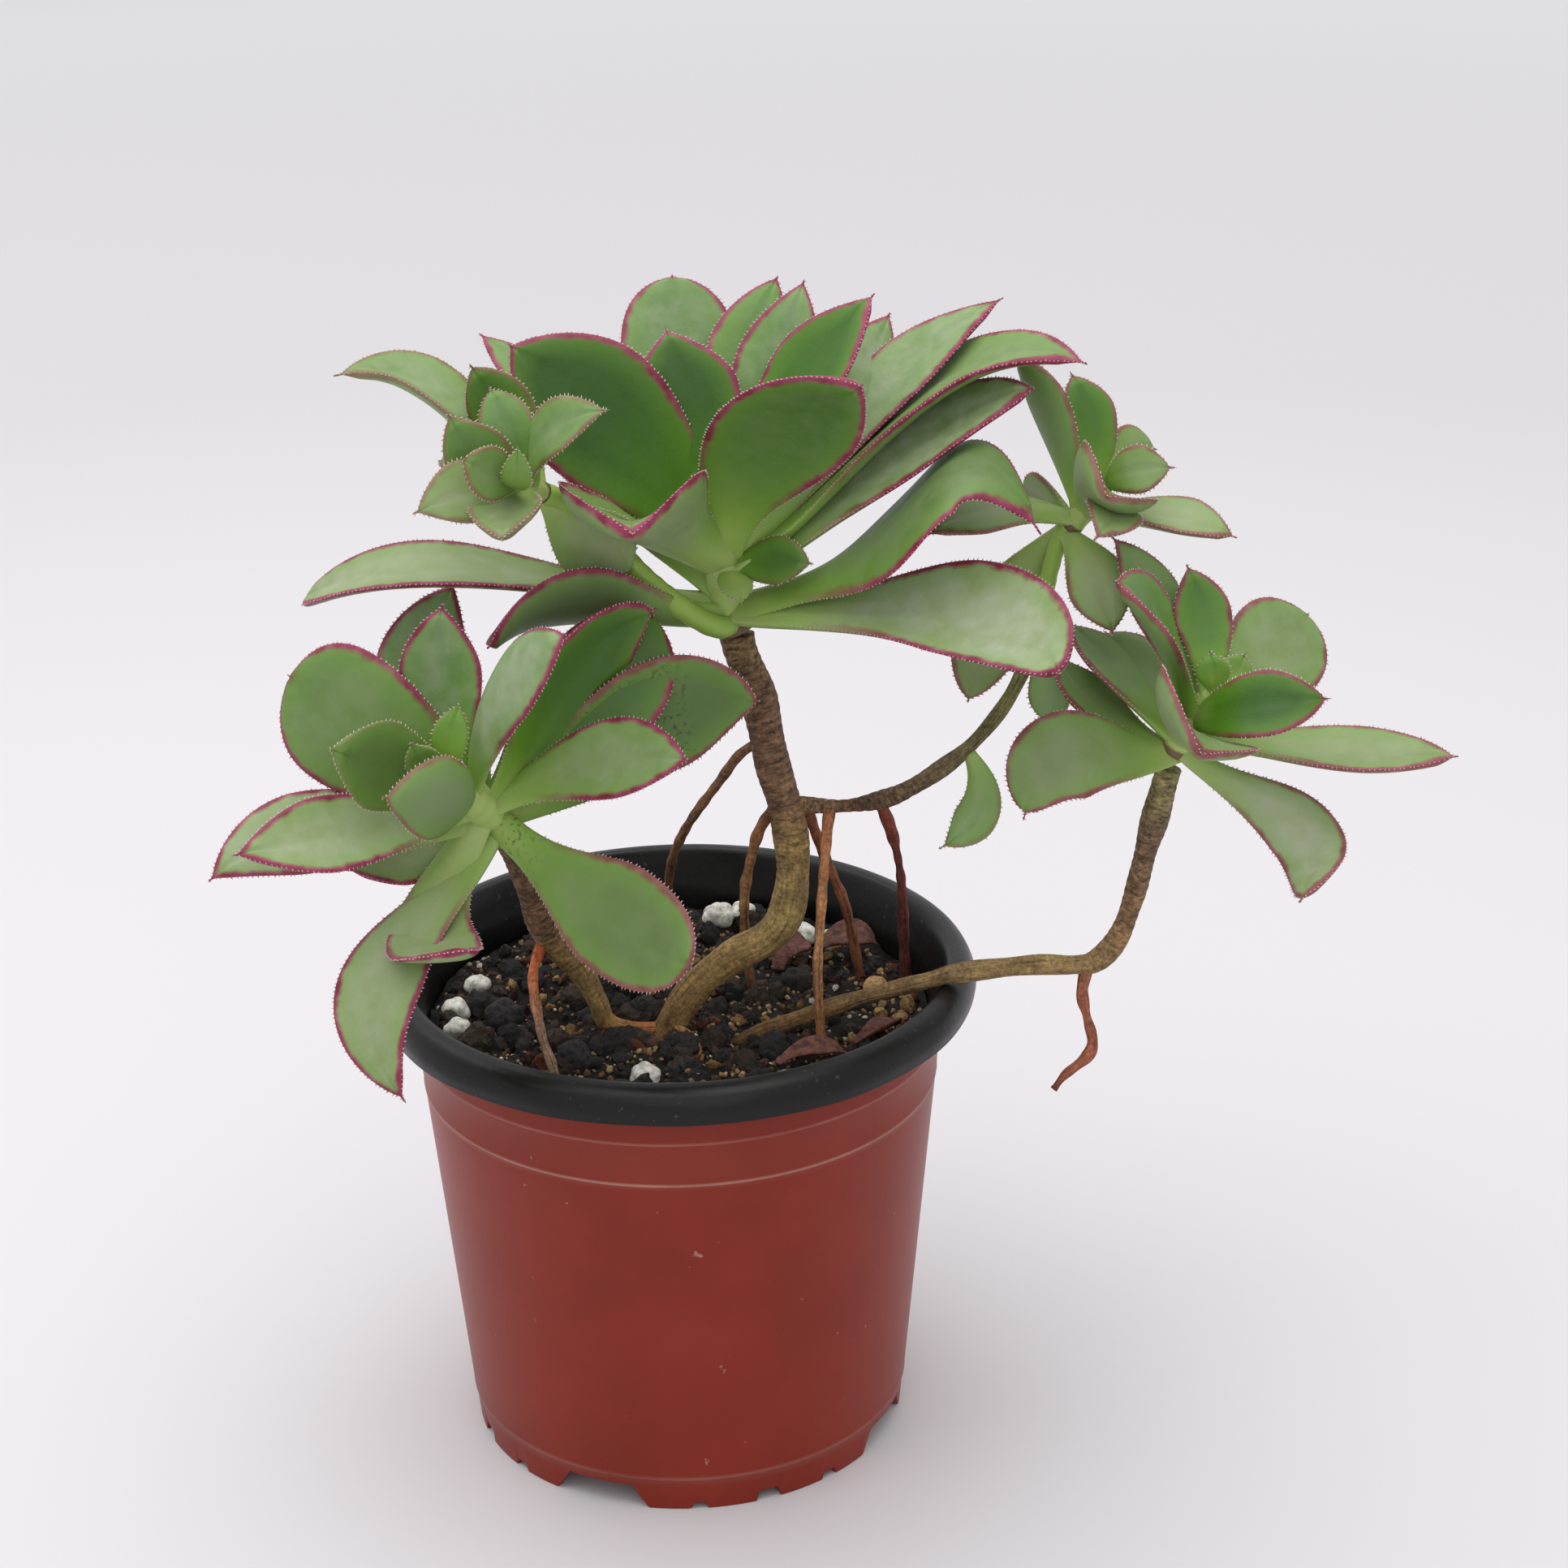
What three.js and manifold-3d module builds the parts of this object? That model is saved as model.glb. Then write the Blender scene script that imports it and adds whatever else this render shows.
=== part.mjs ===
// Potted aeonium: a branching succulent with five leaf heads in a two-coloured plastic nursery pot.
// Millimetres, +Z up. The plant faces -Y, and the origin is on the ground under the pot's middle.

import * as THREE from 'three';
import { mergeVertices } from 'three/addons/utils/BufferGeometryUtils.js';
import Module from 'manifold-3d';

const wasm = await Module();
wasm.setup();

// Driving dimensions of the pot
const POT_HEIGHT = 89;
const RIM_RADIUS = 52.5;
const WALL_TOP_RADIUS = 46.8;
const BASE_RADIUS = 39;
const LIP_HEIGHT = 6;
const WALL_THICKNESS = 0.9;
const LINER_THICKNESS = 0.8;
const FLOOR_HEIGHT = 4.8;
const FLOOR_THICKNESS = 1;
const DISC_RADIUS = 17.5;
const DISC_SLOPE = 2.5;
const RING_HEIGHT = 68.3;
const RING_STEP = 0.35;
const ROUND_STEPS = 36;

// Driving dimensions of the soil and of the gap that pieces keep where they touch
const SOIL_HEIGHT = 79;
const SOIL_ROUGHNESS = 0.7;
const GAP = 0.3;
const CUT_GAP = 0.33;

// Notches in the foot of the pot: how far round from a large one, width, height and top width
const NOTCH_START = -113;
const NOTCHES = [
  { turn: 0, width: 18, height: 4.4, top: 12 },
  { turn: 26.5, width: 3, height: 1.2, top: 2 },
  { turn: 45, width: 4.6, height: 2, top: 3.6 },
  { turn: 63.5, width: 3.4, height: 1.3, top: 2.4 },
];
const QUARTERS = [0, 90, 180, 270];
const DRAIN_RADIUS = 4.5;
const DRAIN_PLACE = 29;

const material = (color, roughness) => new THREE.MeshStandardMaterial({ color, roughness, metalness: 0 });
const terracottaPlastic = material(0x8f4a38, 0.45);
const blackPlastic = material(0x26262a, 0.5);
const pottingMix = material(0x3a2f28, 0.95);
const leafSkin = material(0x6f8a5c, 0.55);
const palerLeafSkin = material(0x86a066, 0.55);
const bark = material(0x9a8266, 0.85);
const rootSkin = material(0x8c5a44, 0.8);
const driedLeaf = material(0x5a3028, 0.85);
const perlite = material(0xe9e6dc, 0.9);
const pumice = material(0xb08a5a, 0.9);
const scoria = material(0x2e2a2b, 0.95);

const radians = THREE.MathUtils.degToRad;
const vector = (list) => new THREE.Vector3(...list);

// A closed geometry becomes a solid that can be cut and joined
function solidOf(geometry) {
  geometry.deleteAttribute('normal');
  geometry.deleteAttribute('uv');
  const merged = mergeVertices(geometry, 1e-4);
  const vertProperties = new Float32Array(merged.attributes.position.array);
  const triVerts = new Uint32Array(merged.index.array);
  return new wasm.Manifold(new wasm.Mesh({ numProp: 3, vertProperties, triVerts }));
}

function solidFrom(points, faces) {
  const geometry = new THREE.BufferGeometry();
  geometry.setFromPoints(points);
  geometry.setIndex(faces.flat());
  return solidOf(geometry);
}

const group = new THREE.Group();

function addPiece(name, solid, skin) {
  const { vertProperties, triVerts } = solid.getMesh();
  const geometry = new THREE.BufferGeometry();
  geometry.setAttribute('position', new THREE.BufferAttribute(new Float32Array(vertProperties), 3));
  geometry.setIndex(new THREE.BufferAttribute(new Uint32Array(triVerts), 1));
  geometry.computeVertexNormals();
  const mesh = new THREE.Mesh(geometry, skin);
  mesh.name = name;
  group.add(mesh);
}

// A profile of [radius, height] points turned about the pot's axis
function turned(profile, steps = ROUND_STEPS) {
  const points = profile.map(([radius, height]) => new THREE.Vector2(radius, height));
  const geometry = new THREE.LatheGeometry(points, steps);
  geometry.rotateX(Math.PI / 2);
  return solidOf(geometry);
}

// A round stem or root through hand-set points [x, y, z, radius], with flat ends.
// A swell above nought makes the slightly larger shape that cuts a clear seat for it.
function stem(route, sides, steps, swell = 0) {
  const stops = route.map((stop) => vector(stop.slice(0, 3)));
  const curve = new THREE.CatmullRomCurve3(stops, false, 'centripetal');
  const points = [];
  let across = new THREE.Vector3();
  for (let i = 0; i <= steps; i += 1) {
    const t = i / steps;
    const middle = curve.getPoint(t);
    const along = curve.getTangent(t);
    if (i === 0) across.set(0.3, 1, 0.2);
    across = across.clone().projectOnPlane(along).normalize();
    const upward = new THREE.Vector3().crossVectors(along, across);
    const place = t * (route.length - 1);
    const before = Math.min(Math.floor(place), route.length - 2);
    const radius = THREE.MathUtils.lerp(route[before][3], route[before + 1][3], place - before) + swell;
    if (i === 0) middle.addScaledVector(along, -swell);
    if (i === steps) middle.addScaledVector(along, swell);
    for (let k = 0; k < sides; k += 1) {
      const angle = (k / sides) * 2 * Math.PI;
      const point = middle.clone();
      point.addScaledVector(across, radius * Math.cos(angle));
      point.addScaledVector(upward, radius * Math.sin(angle));
      points.push(point);
    }
  }
  const faces = [];
  const last = steps * sides;
  for (let k = 0; k < sides; k += 1) {
    const next = (k + 1) % sides;
    for (let i = 0; i < steps; i += 1) {
      const row = i * sides;
      faces.push([row + k, row + next, row + sides + next], [row + k, row + sides + next, row + sides + k]);
    }
    if (k > 0 && k < sides - 1) {
      faces.push([0, k + 1, k], [last, last + k, last + k + 1]);
    }
  }
  return solidFrom(points, faces);
}

// How wide a blade is along its length, as a share of its widest: a stalk-like root, the widest
// place two thirds out, and a tip that is pointed or, with a bluntness of one, round. A waist
// above nought point nine keeps the stalk-like part narrow for longer.
const WIDEST_PLACE = 0.66;
const ROOT_SHARE = 0.3;
const USUAL_WAIST = 0.9;
function shareOfWidth(t, bluntness, waist) {
  if (t < WIDEST_PLACE) {
    const u = t / WIDEST_PLACE;
    return ROOT_SHARE + (1 - ROOT_SHARE) * (u * u * (3 - 2 * u)) ** waist;
  }
  const v = (t - WIDEST_PLACE) / (1 - WIDEST_PLACE);
  return (1 - v ** (1.7 + 0.8 * bluntness)) ** (0.95 - 0.45 * bluntness);
}

// One fleshy blade. It leaves its seat at a bearing and a rise (degrees), runs for its length,
// arches up and sways sideways by so many millimetres at its peak, is turned about its length by
// its roll, and folds its sides up by its cup (degrees). The later it bends, from nought on, the
// more of the bend is left for its end.
const MARGIN_THICKNESS = 0.75;
const TIP_HALF_WIDTH = 0.5;
const FINE_STATIONS = [0, 0.28, 0.52, 0.74, 0.91, 1];
const PLAIN_STATIONS = [0, 0.34, 0.64, 0.88, 1];
const FINE_WIDTH = 22;
const FINE_CUP = 35;
function blade(seat, leaf, swell = 0, thinness = 1) {
  const [, bearing, rise, length, peak, arch, sway, width, roll, cup, bluntness, late] = leaf;
  const waist = leaf[12] ?? USUAL_WAIST;
  const fine = width > FINE_WIDTH || cup > FINE_CUP;
  const stations = fine ? FINE_STATIONS : PLAIN_STATIONS;
  const columns = fine ? [-1, -0.5, 0, 0.5, 1] : [-1, 0, 1];
  const [a, r, turn] = [radians(bearing), radians(rise), radians(roll)];
  const outward = vector([Math.cos(a) * Math.cos(r), Math.sin(a) * Math.cos(r), Math.sin(r)]);
  const level = vector([-Math.sin(a), Math.cos(a), 0]);
  const lift = new THREE.Vector3().crossVectors(outward, level);
  const bend = (t) => (t ** (1 + late) * (1 - t)) / (peak ** (1 + late) * (1 - peak));
  const midrib = (t) => seat.clone().addScaledVector(outward, t * length)
    .addScaledVector(lift, bend(t) * arch).addScaledVector(level, bend(t) * sway);
  const side = level.clone().multiplyScalar(Math.cos(turn)).addScaledVector(lift, Math.sin(turn));
  const thickness = (1.2 + 0.05 * width) * thinness;
  const margin = MARGIN_THICKNESS * thinness;
  const fold = radians(Math.abs(cup) < 1 ? 1 : cup);
  const upper = [];
  const lower = [];
  for (const t of stations) {
    const middle = midrib(t);
    const along = midrib(t + 0.01).sub(midrib(t - 0.01)).normalize();
    const across = side.clone().projectOnPlane(along).normalize();
    const up = new THREE.Vector3().crossVectors(along, across);
    const half = Math.max((width / 2) * shareOfWidth(t, bluntness, waist), TIP_HALF_WIDTH) + swell;
    if (t === 0) middle.addScaledVector(along, -swell);
    if (t === 1) middle.addScaledVector(along, swell);
    const flesh = t > 0.9 ? 1.6 - 0.6 * t : 1.45 - 0.5 * t;
    for (const v of columns) {
      const angle = fold * v;
      const out = (half * Math.sin(angle)) / fold;
      const high = (half * (1 - Math.cos(angle))) / fold;
      const point = middle.clone().addScaledVector(across, out).addScaledVector(up, high);
      const facing = up.clone().multiplyScalar(Math.cos(angle)).addScaledVector(across, -Math.sin(angle));
      const thick = THREE.MathUtils.lerp(margin, thickness * flesh, 1 - v * v);
      upper.push(point.clone().addScaledVector(facing, thick / 2 + swell));
      lower.push(point.clone().addScaledVector(facing, -thick / 2 - swell));
    }
  }
  const wide = columns.length;
  const count = upper.length;
  const faces = [];
  const wall = (p, q) => faces.push([p, p + count, q + count], [p, q + count, q]);
  for (let i = 0; i < stations.length - 1; i += 1) {
    for (let j = 0; j < wide - 1; j += 1) {
      const [p, q, s, u] = [i * wide + j, i * wide + j + 1, (i + 1) * wide + j, (i + 1) * wide + j + 1];
      faces.push([p, s, u], [p, u, q], [p + count, u + count, s + count], [p + count, q + count, u + count]);
    }
    wall(i * wide, (i + 1) * wide);
    wall((i + 2) * wide - 1, (i + 1) * wide - 1);
  }
  for (let j = 0; j < wide - 1; j += 1) {
    wall(j + 1, j);
    wall(count - wide + j, count - wide + j + 1);
  }
  return solidFrom([...upper, ...lower], faces);
}

// A rough grain: a ball whose corners are moved in and out by a formula
function grain([x, y, z, radius], swell = 0) {
  const geometry = new THREE.IcosahedronGeometry(1);
  const corners = geometry.attributes.position;
  for (let i = 0; i < corners.count; i += 1) {
    const corner = new THREE.Vector3().fromBufferAttribute(corners, i);
    const across = Math.sin(4 * corner.x + x) * Math.cos(5 * corner.y + y);
    const wave = across + 0.6 * Math.sin(6 * corner.z + x + y);
    corner.multiplyScalar(radius * (1 + 0.1 * wave) + swell);
    corners.setXYZ(i, corner.x + x, corner.y + y, corner.z * 0.85 + z);
  }
  return solidOf(geometry);
}

const joined = (solids) => wasm.Manifold.union(solids);

// Pot wall: terracotta-coloured outer layer. The middle disc of its floor and a notched foot ring
// stand on the ground, and the floor between them is a raised channel with the drain holes.
const WALL_SLOPE = (WALL_TOP_RADIUS - BASE_RADIUS) / (POT_HEIGHT - LIP_HEIGHT);
const wallRadius = (height) => BASE_RADIUS + WALL_SLOPE * height;
const WALL_TOP = POT_HEIGHT - LIP_HEIGHT - 0.4;
const FOOT_RING_WIDTH = 1.4;
const FLOOR_TOP = FLOOR_HEIGHT + FLOOR_THICKNESS;
const disc = (lift, inset) => [
  [0, FLOOR_THICKNESS + lift], [DISC_RADIUS - inset, FLOOR_THICKNESS + lift],
  [DISC_RADIUS + DISC_SLOPE - inset, FLOOR_TOP + lift],
];
let wall = turned([
  ...disc(-FLOOR_THICKNESS, -0.5), [BASE_RADIUS - FOOT_RING_WIDTH - 1, FLOOR_HEIGHT],
  [BASE_RADIUS - FOOT_RING_WIDTH, 0], [BASE_RADIUS, 0],
  [wallRadius(6.2), 6.2], [wallRadius(7) + 0.3, 7], [wallRadius(RING_HEIGHT - 1), RING_HEIGHT - 1],
  [wallRadius(RING_HEIGHT) + RING_STEP, RING_HEIGHT], [wallRadius(WALL_TOP), WALL_TOP],
  [wallRadius(WALL_TOP) - WALL_THICKNESS, WALL_TOP], [wallRadius(FLOOR_TOP) - WALL_THICKNESS, FLOOR_TOP],
  ...disc(0, 0).reverse(),
]);
const drain = (turn) => {
  const post = new THREE.CylinderGeometry(DRAIN_RADIUS, DRAIN_RADIUS, 30, 14);
  post.rotateX(Math.PI / 2);
  post.translate(DRAIN_PLACE, 0, 0);
  post.rotateZ(radians(turn));
  return solidOf(post);
};
const notchCutter = ({ turn, width, height, top }, quarter) => {
  const outline = new THREE.Shape([
    new THREE.Vector2(-width / 2, -1), new THREE.Vector2(width / 2, -1), new THREE.Vector2(width / 2, 0),
    new THREE.Vector2(top / 2, height), new THREE.Vector2(-top / 2, height), new THREE.Vector2(-width / 2, 0),
  ]);
  const block = new THREE.ExtrudeGeometry(outline, { depth: 8, bevelEnabled: false });
  block.translate(0, 0, BASE_RADIUS - 5);
  block.rotateX(Math.PI / 2);
  block.rotateZ(Math.PI / 2);
  block.rotateZ(radians(NOTCH_START + turn + quarter) + Math.PI);
  return solidOf(block);
};
const drains = joined(QUARTERS.map((quarter) => drain(NOTCH_START + quarter)));
wall = wall.subtract(drains);
for (const quarter of QUARTERS) {
  for (const notch of NOTCHES) wall = wall.subtract(notchCutter(notch, quarter));
}
addPiece('pot_wall', wall, terracottaPlastic);

// Pot liner: the black inner layer, which turns outward over the wall as the rolled lip
const linerOuter = (height) => wallRadius(height) - WALL_THICKNESS - GAP;
const linerInner = (height) => linerOuter(height) - LINER_THICKNESS;
const LINER_FLOOR = FLOOR_TOP + GAP;
const LINER_FLOOR_TOP = LINER_FLOOR + LINER_THICKNESS;
const liner = turned([
  ...disc(GAP, 0.2), [linerOuter(LINER_FLOOR), LINER_FLOOR], [linerOuter(82), 82],
  [46.9, 86.3], [48.3, 87.8], [50.3, 87.7], [51.4, 86], [51.4, 83.1],
  [52.3, 83.1], [RIM_RADIUS, 85.4], [51.5, 87.9], [49.4, POT_HEIGHT], [47.2, 88.2],
  [linerInner(82), 82], [linerInner(LINER_FLOOR_TOP), LINER_FLOOR_TOP],
  ...disc(GAP + LINER_THICKNESS, 0.7).reverse(),
]).subtract(drains);
addPiece('pot_liner', liner, blackPlastic);

// Woody stem: the trunk bends over from its foot, and a left, a low right and a high right branch
// grew from it. Each stop is x, y, z and radius.
const TRUNK = [
  [-5.3, -9.5, 71, 2.9], [-1.3, -9, 79.9, 2.9], [3.3, -8.5, 87.1, 2.8], [9.6, -8, 92.4, 2.8],
  [15.7, -7.5, 95.8, 3], [19.2, -7, 100.1, 3.2], [20.6, -5.7, 108.5, 2.9], [19.7, -4.5, 117.9, 3],
  [17.3, -3.2, 127, 3.1], [15.2, -1.7, 138, 3.1], [12.3, -0.6, 146.3, 2.9],
  [11.7, -0.3, 149.2, 2.9],
];
const LEFT_BRANCH = [
  [-1.4, -9, 78.9, 1.7], [-9.3, -9, 79.7, 1.4], [-12.6, -9, 81.2, 1.6], [-13.9, -9.7, 85.4, 1.8],
  [-17, -10.6, 92.5, 2.2], [-20.4, -12, 97.3, 2.7], [-23, -14.5, 103.5, 2.5],
  [-24.7, -19, 114.6, 2.4], [-27.9, -23.6, 124, 2.3],
];
const LOW_BRANCH = [
  [-2.6, -9.4, 74.5, 1.8], [6, -10.8, 74.8, 1.6], [12.7, -12.2, 79, 1.5], [18.7, -12.5, 81.6, 1.5],
  [31.9, -13, 86.7, 1.45], [43.1, -13, 89.6, 1.5], [48.7, -13, 91.1, 1.6], [61.3, -13, 92.4, 1.8],
  [68.6, -13, 92.3, 1.8], [72.6, -13, 93, 2], [76.2, -13, 97.2, 1.8], [78.7, -13, 104.5, 1.8],
  [80.7, -13.8, 114.4, 2.1], [82.1, -14.5, 121, 2.3], [83.9, -15, 129.6, 2.1],
];
const HIGH_BRANCH = [
  [20.1, -3.6, 119.3, 1.4], [29.5, -4, 119, 1.3], [36.5, -4, 120.2, 1.6], [41, -3.4, 121.9, 1.5],
  [46.4, -2.6, 125.1, 1.4], [52, -1.4, 129.4, 1.3], [57.6, -0.2, 136.2, 1.3],
  [61.5, 1, 144.1, 1.3], [63.5, 2.3, 150.3, 1.3],
];
const woodWith = (swell) => joined([
  stem(TRUNK, 10, 18, swell), stem(LEFT_BRANCH, 8, 11, swell), stem(LOW_BRANCH, 8, 15, swell),
  stem(HIGH_BRANCH, 8, 10, swell),
]);
const wood = woodWith(0);
const woodSeat = woodWith(CUT_GAP);
addPiece('woody_stem', wood, bark);

// Aerial roots: they hang from the wood, and all but one reach into the soil
const AERIAL_ROOTS = [
  [
    [17, -2, 131, 0.9], [12, 0, 127.5, 0.9], [7.8, 4, 120.3, 0.85], [1.1, 14, 106.6, 0.85],
    [-2, 26, 93, 0.85], [-3.3, 36, 75, 0.9],
  ],
  [
    [17.6, -4.4, 119.6, 1], [14.9, -1.5, 113.8, 0.95], [13.4, 0, 108.1, 0.9], [12, 2.2, 99, 0.9],
    [12.2, 3.6, 88, 0.9], [13.5, 4.7, 75, 0.9],
  ],
  [
    [27, -4.5, 118.4, 1.1], [26.4, -7, 114.7, 0.95], [25.2, -12.5, 101.9, 0.85],
    [24.5, -15.2, 93.9, 0.85], [24.7, -16.2, 86.6, 0.85], [25.4, -16.8, 75, 0.85],
  ],
  [
    [23, -3.2, 118.2, 1.1], [25.3, 1, 110, 0.95], [27.7, 4.2, 102.1, 0.9], [30, 7, 94.1, 0.9],
    [33.3, 11, 75, 0.9],
  ],
  [
    [35.6, -4, 119.8, 1.2], [37.6, -1.4, 113.6, 1.1], [38.8, 1, 107.9, 0.75],
    [39.6, 4, 101.2, 0.75], [40, 7, 94.3, 1], [40.8, 11.5, 75, 1],
  ],
  [
    [71.2, -13, 92.2, 1.1], [70.3, -14, 87.6, 1], [71, -14.6, 83.5, 0.85], [72, -15.4, 78.9, 1],
    [71, -16, 76, 0.95], [67.2, -17.2, 73.1, 0.8], [65.3, -17.8, 70.7, 0.7],
  ],
  [
    [-22, -13.2, 99.8, 1], [-23.9, -15, 95.5, 0.95], [-24.2, -18.5, 92.6, 0.9],
    [-22.6, -25, 86.1, 0.85], [-20.9, -28, 82.3, 0.85], [-18.9, -32, 75, 0.85],
  ],
  [
    [-1, -10, 80.6, 0.9], [2.6, -14.6, 80, 0.85], [4.4, -17.4, 75, 0.85],
  ],
];
const rootSteps = (route) => route.length + 1;
AERIAL_ROOTS.forEach((route, i) => {
  const root = stem(route, 6, rootSteps(route)).subtract(woodSeat);
  addPiece(`aerial_root_${i + 1}`, root, rootSkin);
});

// Leaf heads. A leaf row gives its seat (a share of the way from the head's heart to its crown),
// bearing, rise, length, peak, arch, sway, width, roll, cup, bluntness, how late it bends and,
// where the leaf isn't of the usual form, its waist.
const HEADS = [
  {
    name: 'head_main',
    foot: [11.6, -0.3, 149.6],
    heart: [10.5, 0, 152.6],
    crown: [9, 0, 170],
    stalk: 3.1,
    leaves: [
      [0.85, 105, 51, 47, 0.7, -0.5, 1, 20.5, -5, 12, 1, 0],
      [0.8, 72, 48, 49, 0.8, 3, 0.5, 14, 25, 15, 0, 0],
      [0.9, 52, 57, 44, 0.7, 1, -1, 14, 32, 18, 0, 0],
      [0.85, 7, 56.5, 47, 0.7, 1.2, -1.5, 20, 24, 26, 0, 0],
      [0.5, 42, 43, 53, 0.8, 3, -4.5, 14, 54, 15, 0, 0],
      [0.95, 129, 67, 33, 0.7, 1.5, 1, 19, -35, 26, 0, 0],
      [0.6, 177, 47, 50, 0.65, 2.5, 1, 24, -68, 15, 0.25, 0],
      [0.6, -54, 45, 54, 0.6, 5, -2.5, 22, 138, 22, 0.6, 0],
      [0.5, -110, 25, 43.5, 0.6, 2.3, -6, 31, 8, 72, 0.3, 0],
      [0.5, 19, 39.5, 64.5, 0.7, 2, 0.5, 15, 16, 28, 0, 1],
      [0.4, -11, 33.5, 71.5, 0.88, 4, 8.5, 18.5, 9, 28, 0, 1],
      [0.3, -3, 34, 61.5, 0.87, 0.8, 3, 18.5, 20, 23, 0.3, 1, 1],
      [0.05, -17, 21, 56, 0.81, 10.5, 2, 26, 18, -5, 0.5, 4, 2.5],
      [0.05, -34.5, 1.5, 64, 0.84, 2.3, 6, 21.5, 31, 35, 1, 1, 2.3],
      [0.15, -182, 0.5, 71.5, 0.88, 5.5, 7, 14.5, -13, 35, 1, 1, 2.2],
      [0, -152, 4, 44, 0.62, 4, -1.5, 21.5, 42, 25, 1, 1, 1.5],
      [0.5, 148, 35, 59, 0.7, 3.5, 3.5, 13, -18, 20, 0, 0],
      [0.3, 95, 22, 50, 0.7, 5, 0, 21, 0, 14, 0.6, 1],
      [0.3, 62, 26, 50, 0.7, 5, 0, 19, 8, 12, 0.5, 1],
      [0.2, 132, 20, 46, 0.7, 5, 0, 20, -8, 12, 0.5, 1],
      [0.45, -75, -8, 11, 0.6, 1, 0, 6, 0, 15, 0.2, 0],
      [0.45, -30, 14, 17, 0.6, 1, 0, 8.5, 60, 15, 0.2, 0],
    ],
  },
  {
    name: 'head_upper_left',
    heart: [-19.3, -14, 179.4],
    crown: [-24.4, -24, 184.8],
    stalk: 1.9,
    leaves: [
      [0, 175, 31.5, 37.5, 0.7, 3.5, -5, 15.5, -6, 38, 0, 1, 0.7],
      [0.1, 154, 60, 22.5, 0.7, -0.5, -2.5, 11, -67, 12, 0.3, 0],
      [0.3, 153, 67, 17, 0.7, 2, 2.5, 9, -59, 20, 0.3, 0],
      [0.2, -44, 44, 24, 0.6, 3, -3, 10, 67, 22, 0, 0, 0.6],
      [0.2, -155, 46, 20, 0.7, -1.5, 1.5, 11, -112, 15, 0, 0],
      [0.3, -139, 3, 22.5, 0.7, 2, 1.5, 10.5, -60, 15, 0, 0],
      [0.4, -98, -6, 20, 0.6, 0, -0.8, 13, 4, 46, 0, 0],
      [0.75, -119, 29, 16, 0.7, -0.5, 1, 9, -95, 28, 0.5, 0],
      [0.8, -80, 38, 14, 0.7, -2, 0, 5, 162, 28, 0.5, 0],
      [0.1, 146, 6, 20, 0.7, 1.5, 0, 11, -10, 14, 0.3, 0],
    ],
  },
  {
    name: 'head_left',
    heart: [-28.4, -25, 126.1],
    crown: [-36.2, -38, 140.6],
    stalk: 2.9,
    leaves: [
      [0.35, 171, 35, 36.5, 0.72, 1.2, 3, 24.5, -88, 5, 1, 0, 0.7],
      [0.1, 106, 54, 40, 0.8, -2.5, 5, 16, -12, 15, 0.3, 0],
      [0.5, 111, 72, 31, 0.7, -1.5, 1, 14, -27, 22, 0.2, 0],
      [0.4, -43, 56, 41.5, 0.7, 3.2, -1.5, 14, -115, 16, 0.2, 0, 0.7],
      [0.2, 26, 44, 43, 0.7, 4.8, -1.2, 20, 108, 32, 0.3, 1, 0.7],
      [0.1, 16, 18, 48, 0.7, 4, 1.5, 20, 86, 10, 0.5, 1],
      [0.2, -21, 21, 38.5, 0.6, 2.4, 2.6, 14, 53, 18, 0.3, 0, 1.1],
      [0.1, -41, -18, 46, 0.6, -1.8, 0.5, 18.5, 60, 4, 1, 0, 1.7],
      [0.2, -91, -17, 34, 0.84, -6, -4.5, 15, 8, 10, 0.5, 0, 0.7],
      [0, -112, -40.5, 50, 0.7, 3.8, -7.5, 16.5, 8, 20, 0.3, 1, 1.2],
      [0.3, -145, 4, 44, 0.7, 0, 0.5, 14, -43, 28, 0, 0],
      [0.1, -159, -3.5, 47, 0.7, 3.3, -2, 14.5, -46, 8, 0.1, 1],
      [0.6, -137, 30, 29, 0.7, 0, -0.5, 15, -86, 20, 0, 0],
      [0.6, -114, 19, 25, 0.74, 0, 4.4, 14, 83, 21, 0.3, 0, 1.1],
      [0.9, -118, 45, 12, 0.65, -0.5, 0, 6, -138, 28, 0.3, 0],
      [0.85, -20, 78, 13, 0.7, 0, -1.5, 6, 109, 28, 0.3, 0],
      [0, -159, -10, 25.5, 0.8, -2, -2, 11, -29, 15, 0.1, 0],
      [0.2, 122, 28, 32, 0.7, 4, 0, 16, 0, 14, 0.5, 1],
      [0.1, 32, 42, 42.5, 0.7, 1, -3, 21, 52, 9, 0.7, 1],
      [0.1, 140, 18, 38, 0.7, 4, 0, 16, -6, 12, 0.5, 1],
    ],
  },
  {
    name: 'head_right_upper',
    heart: [68.3, 4, 166],
    crown: [74.8, 2, 174.8],
    stalk: 1.9,
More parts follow.
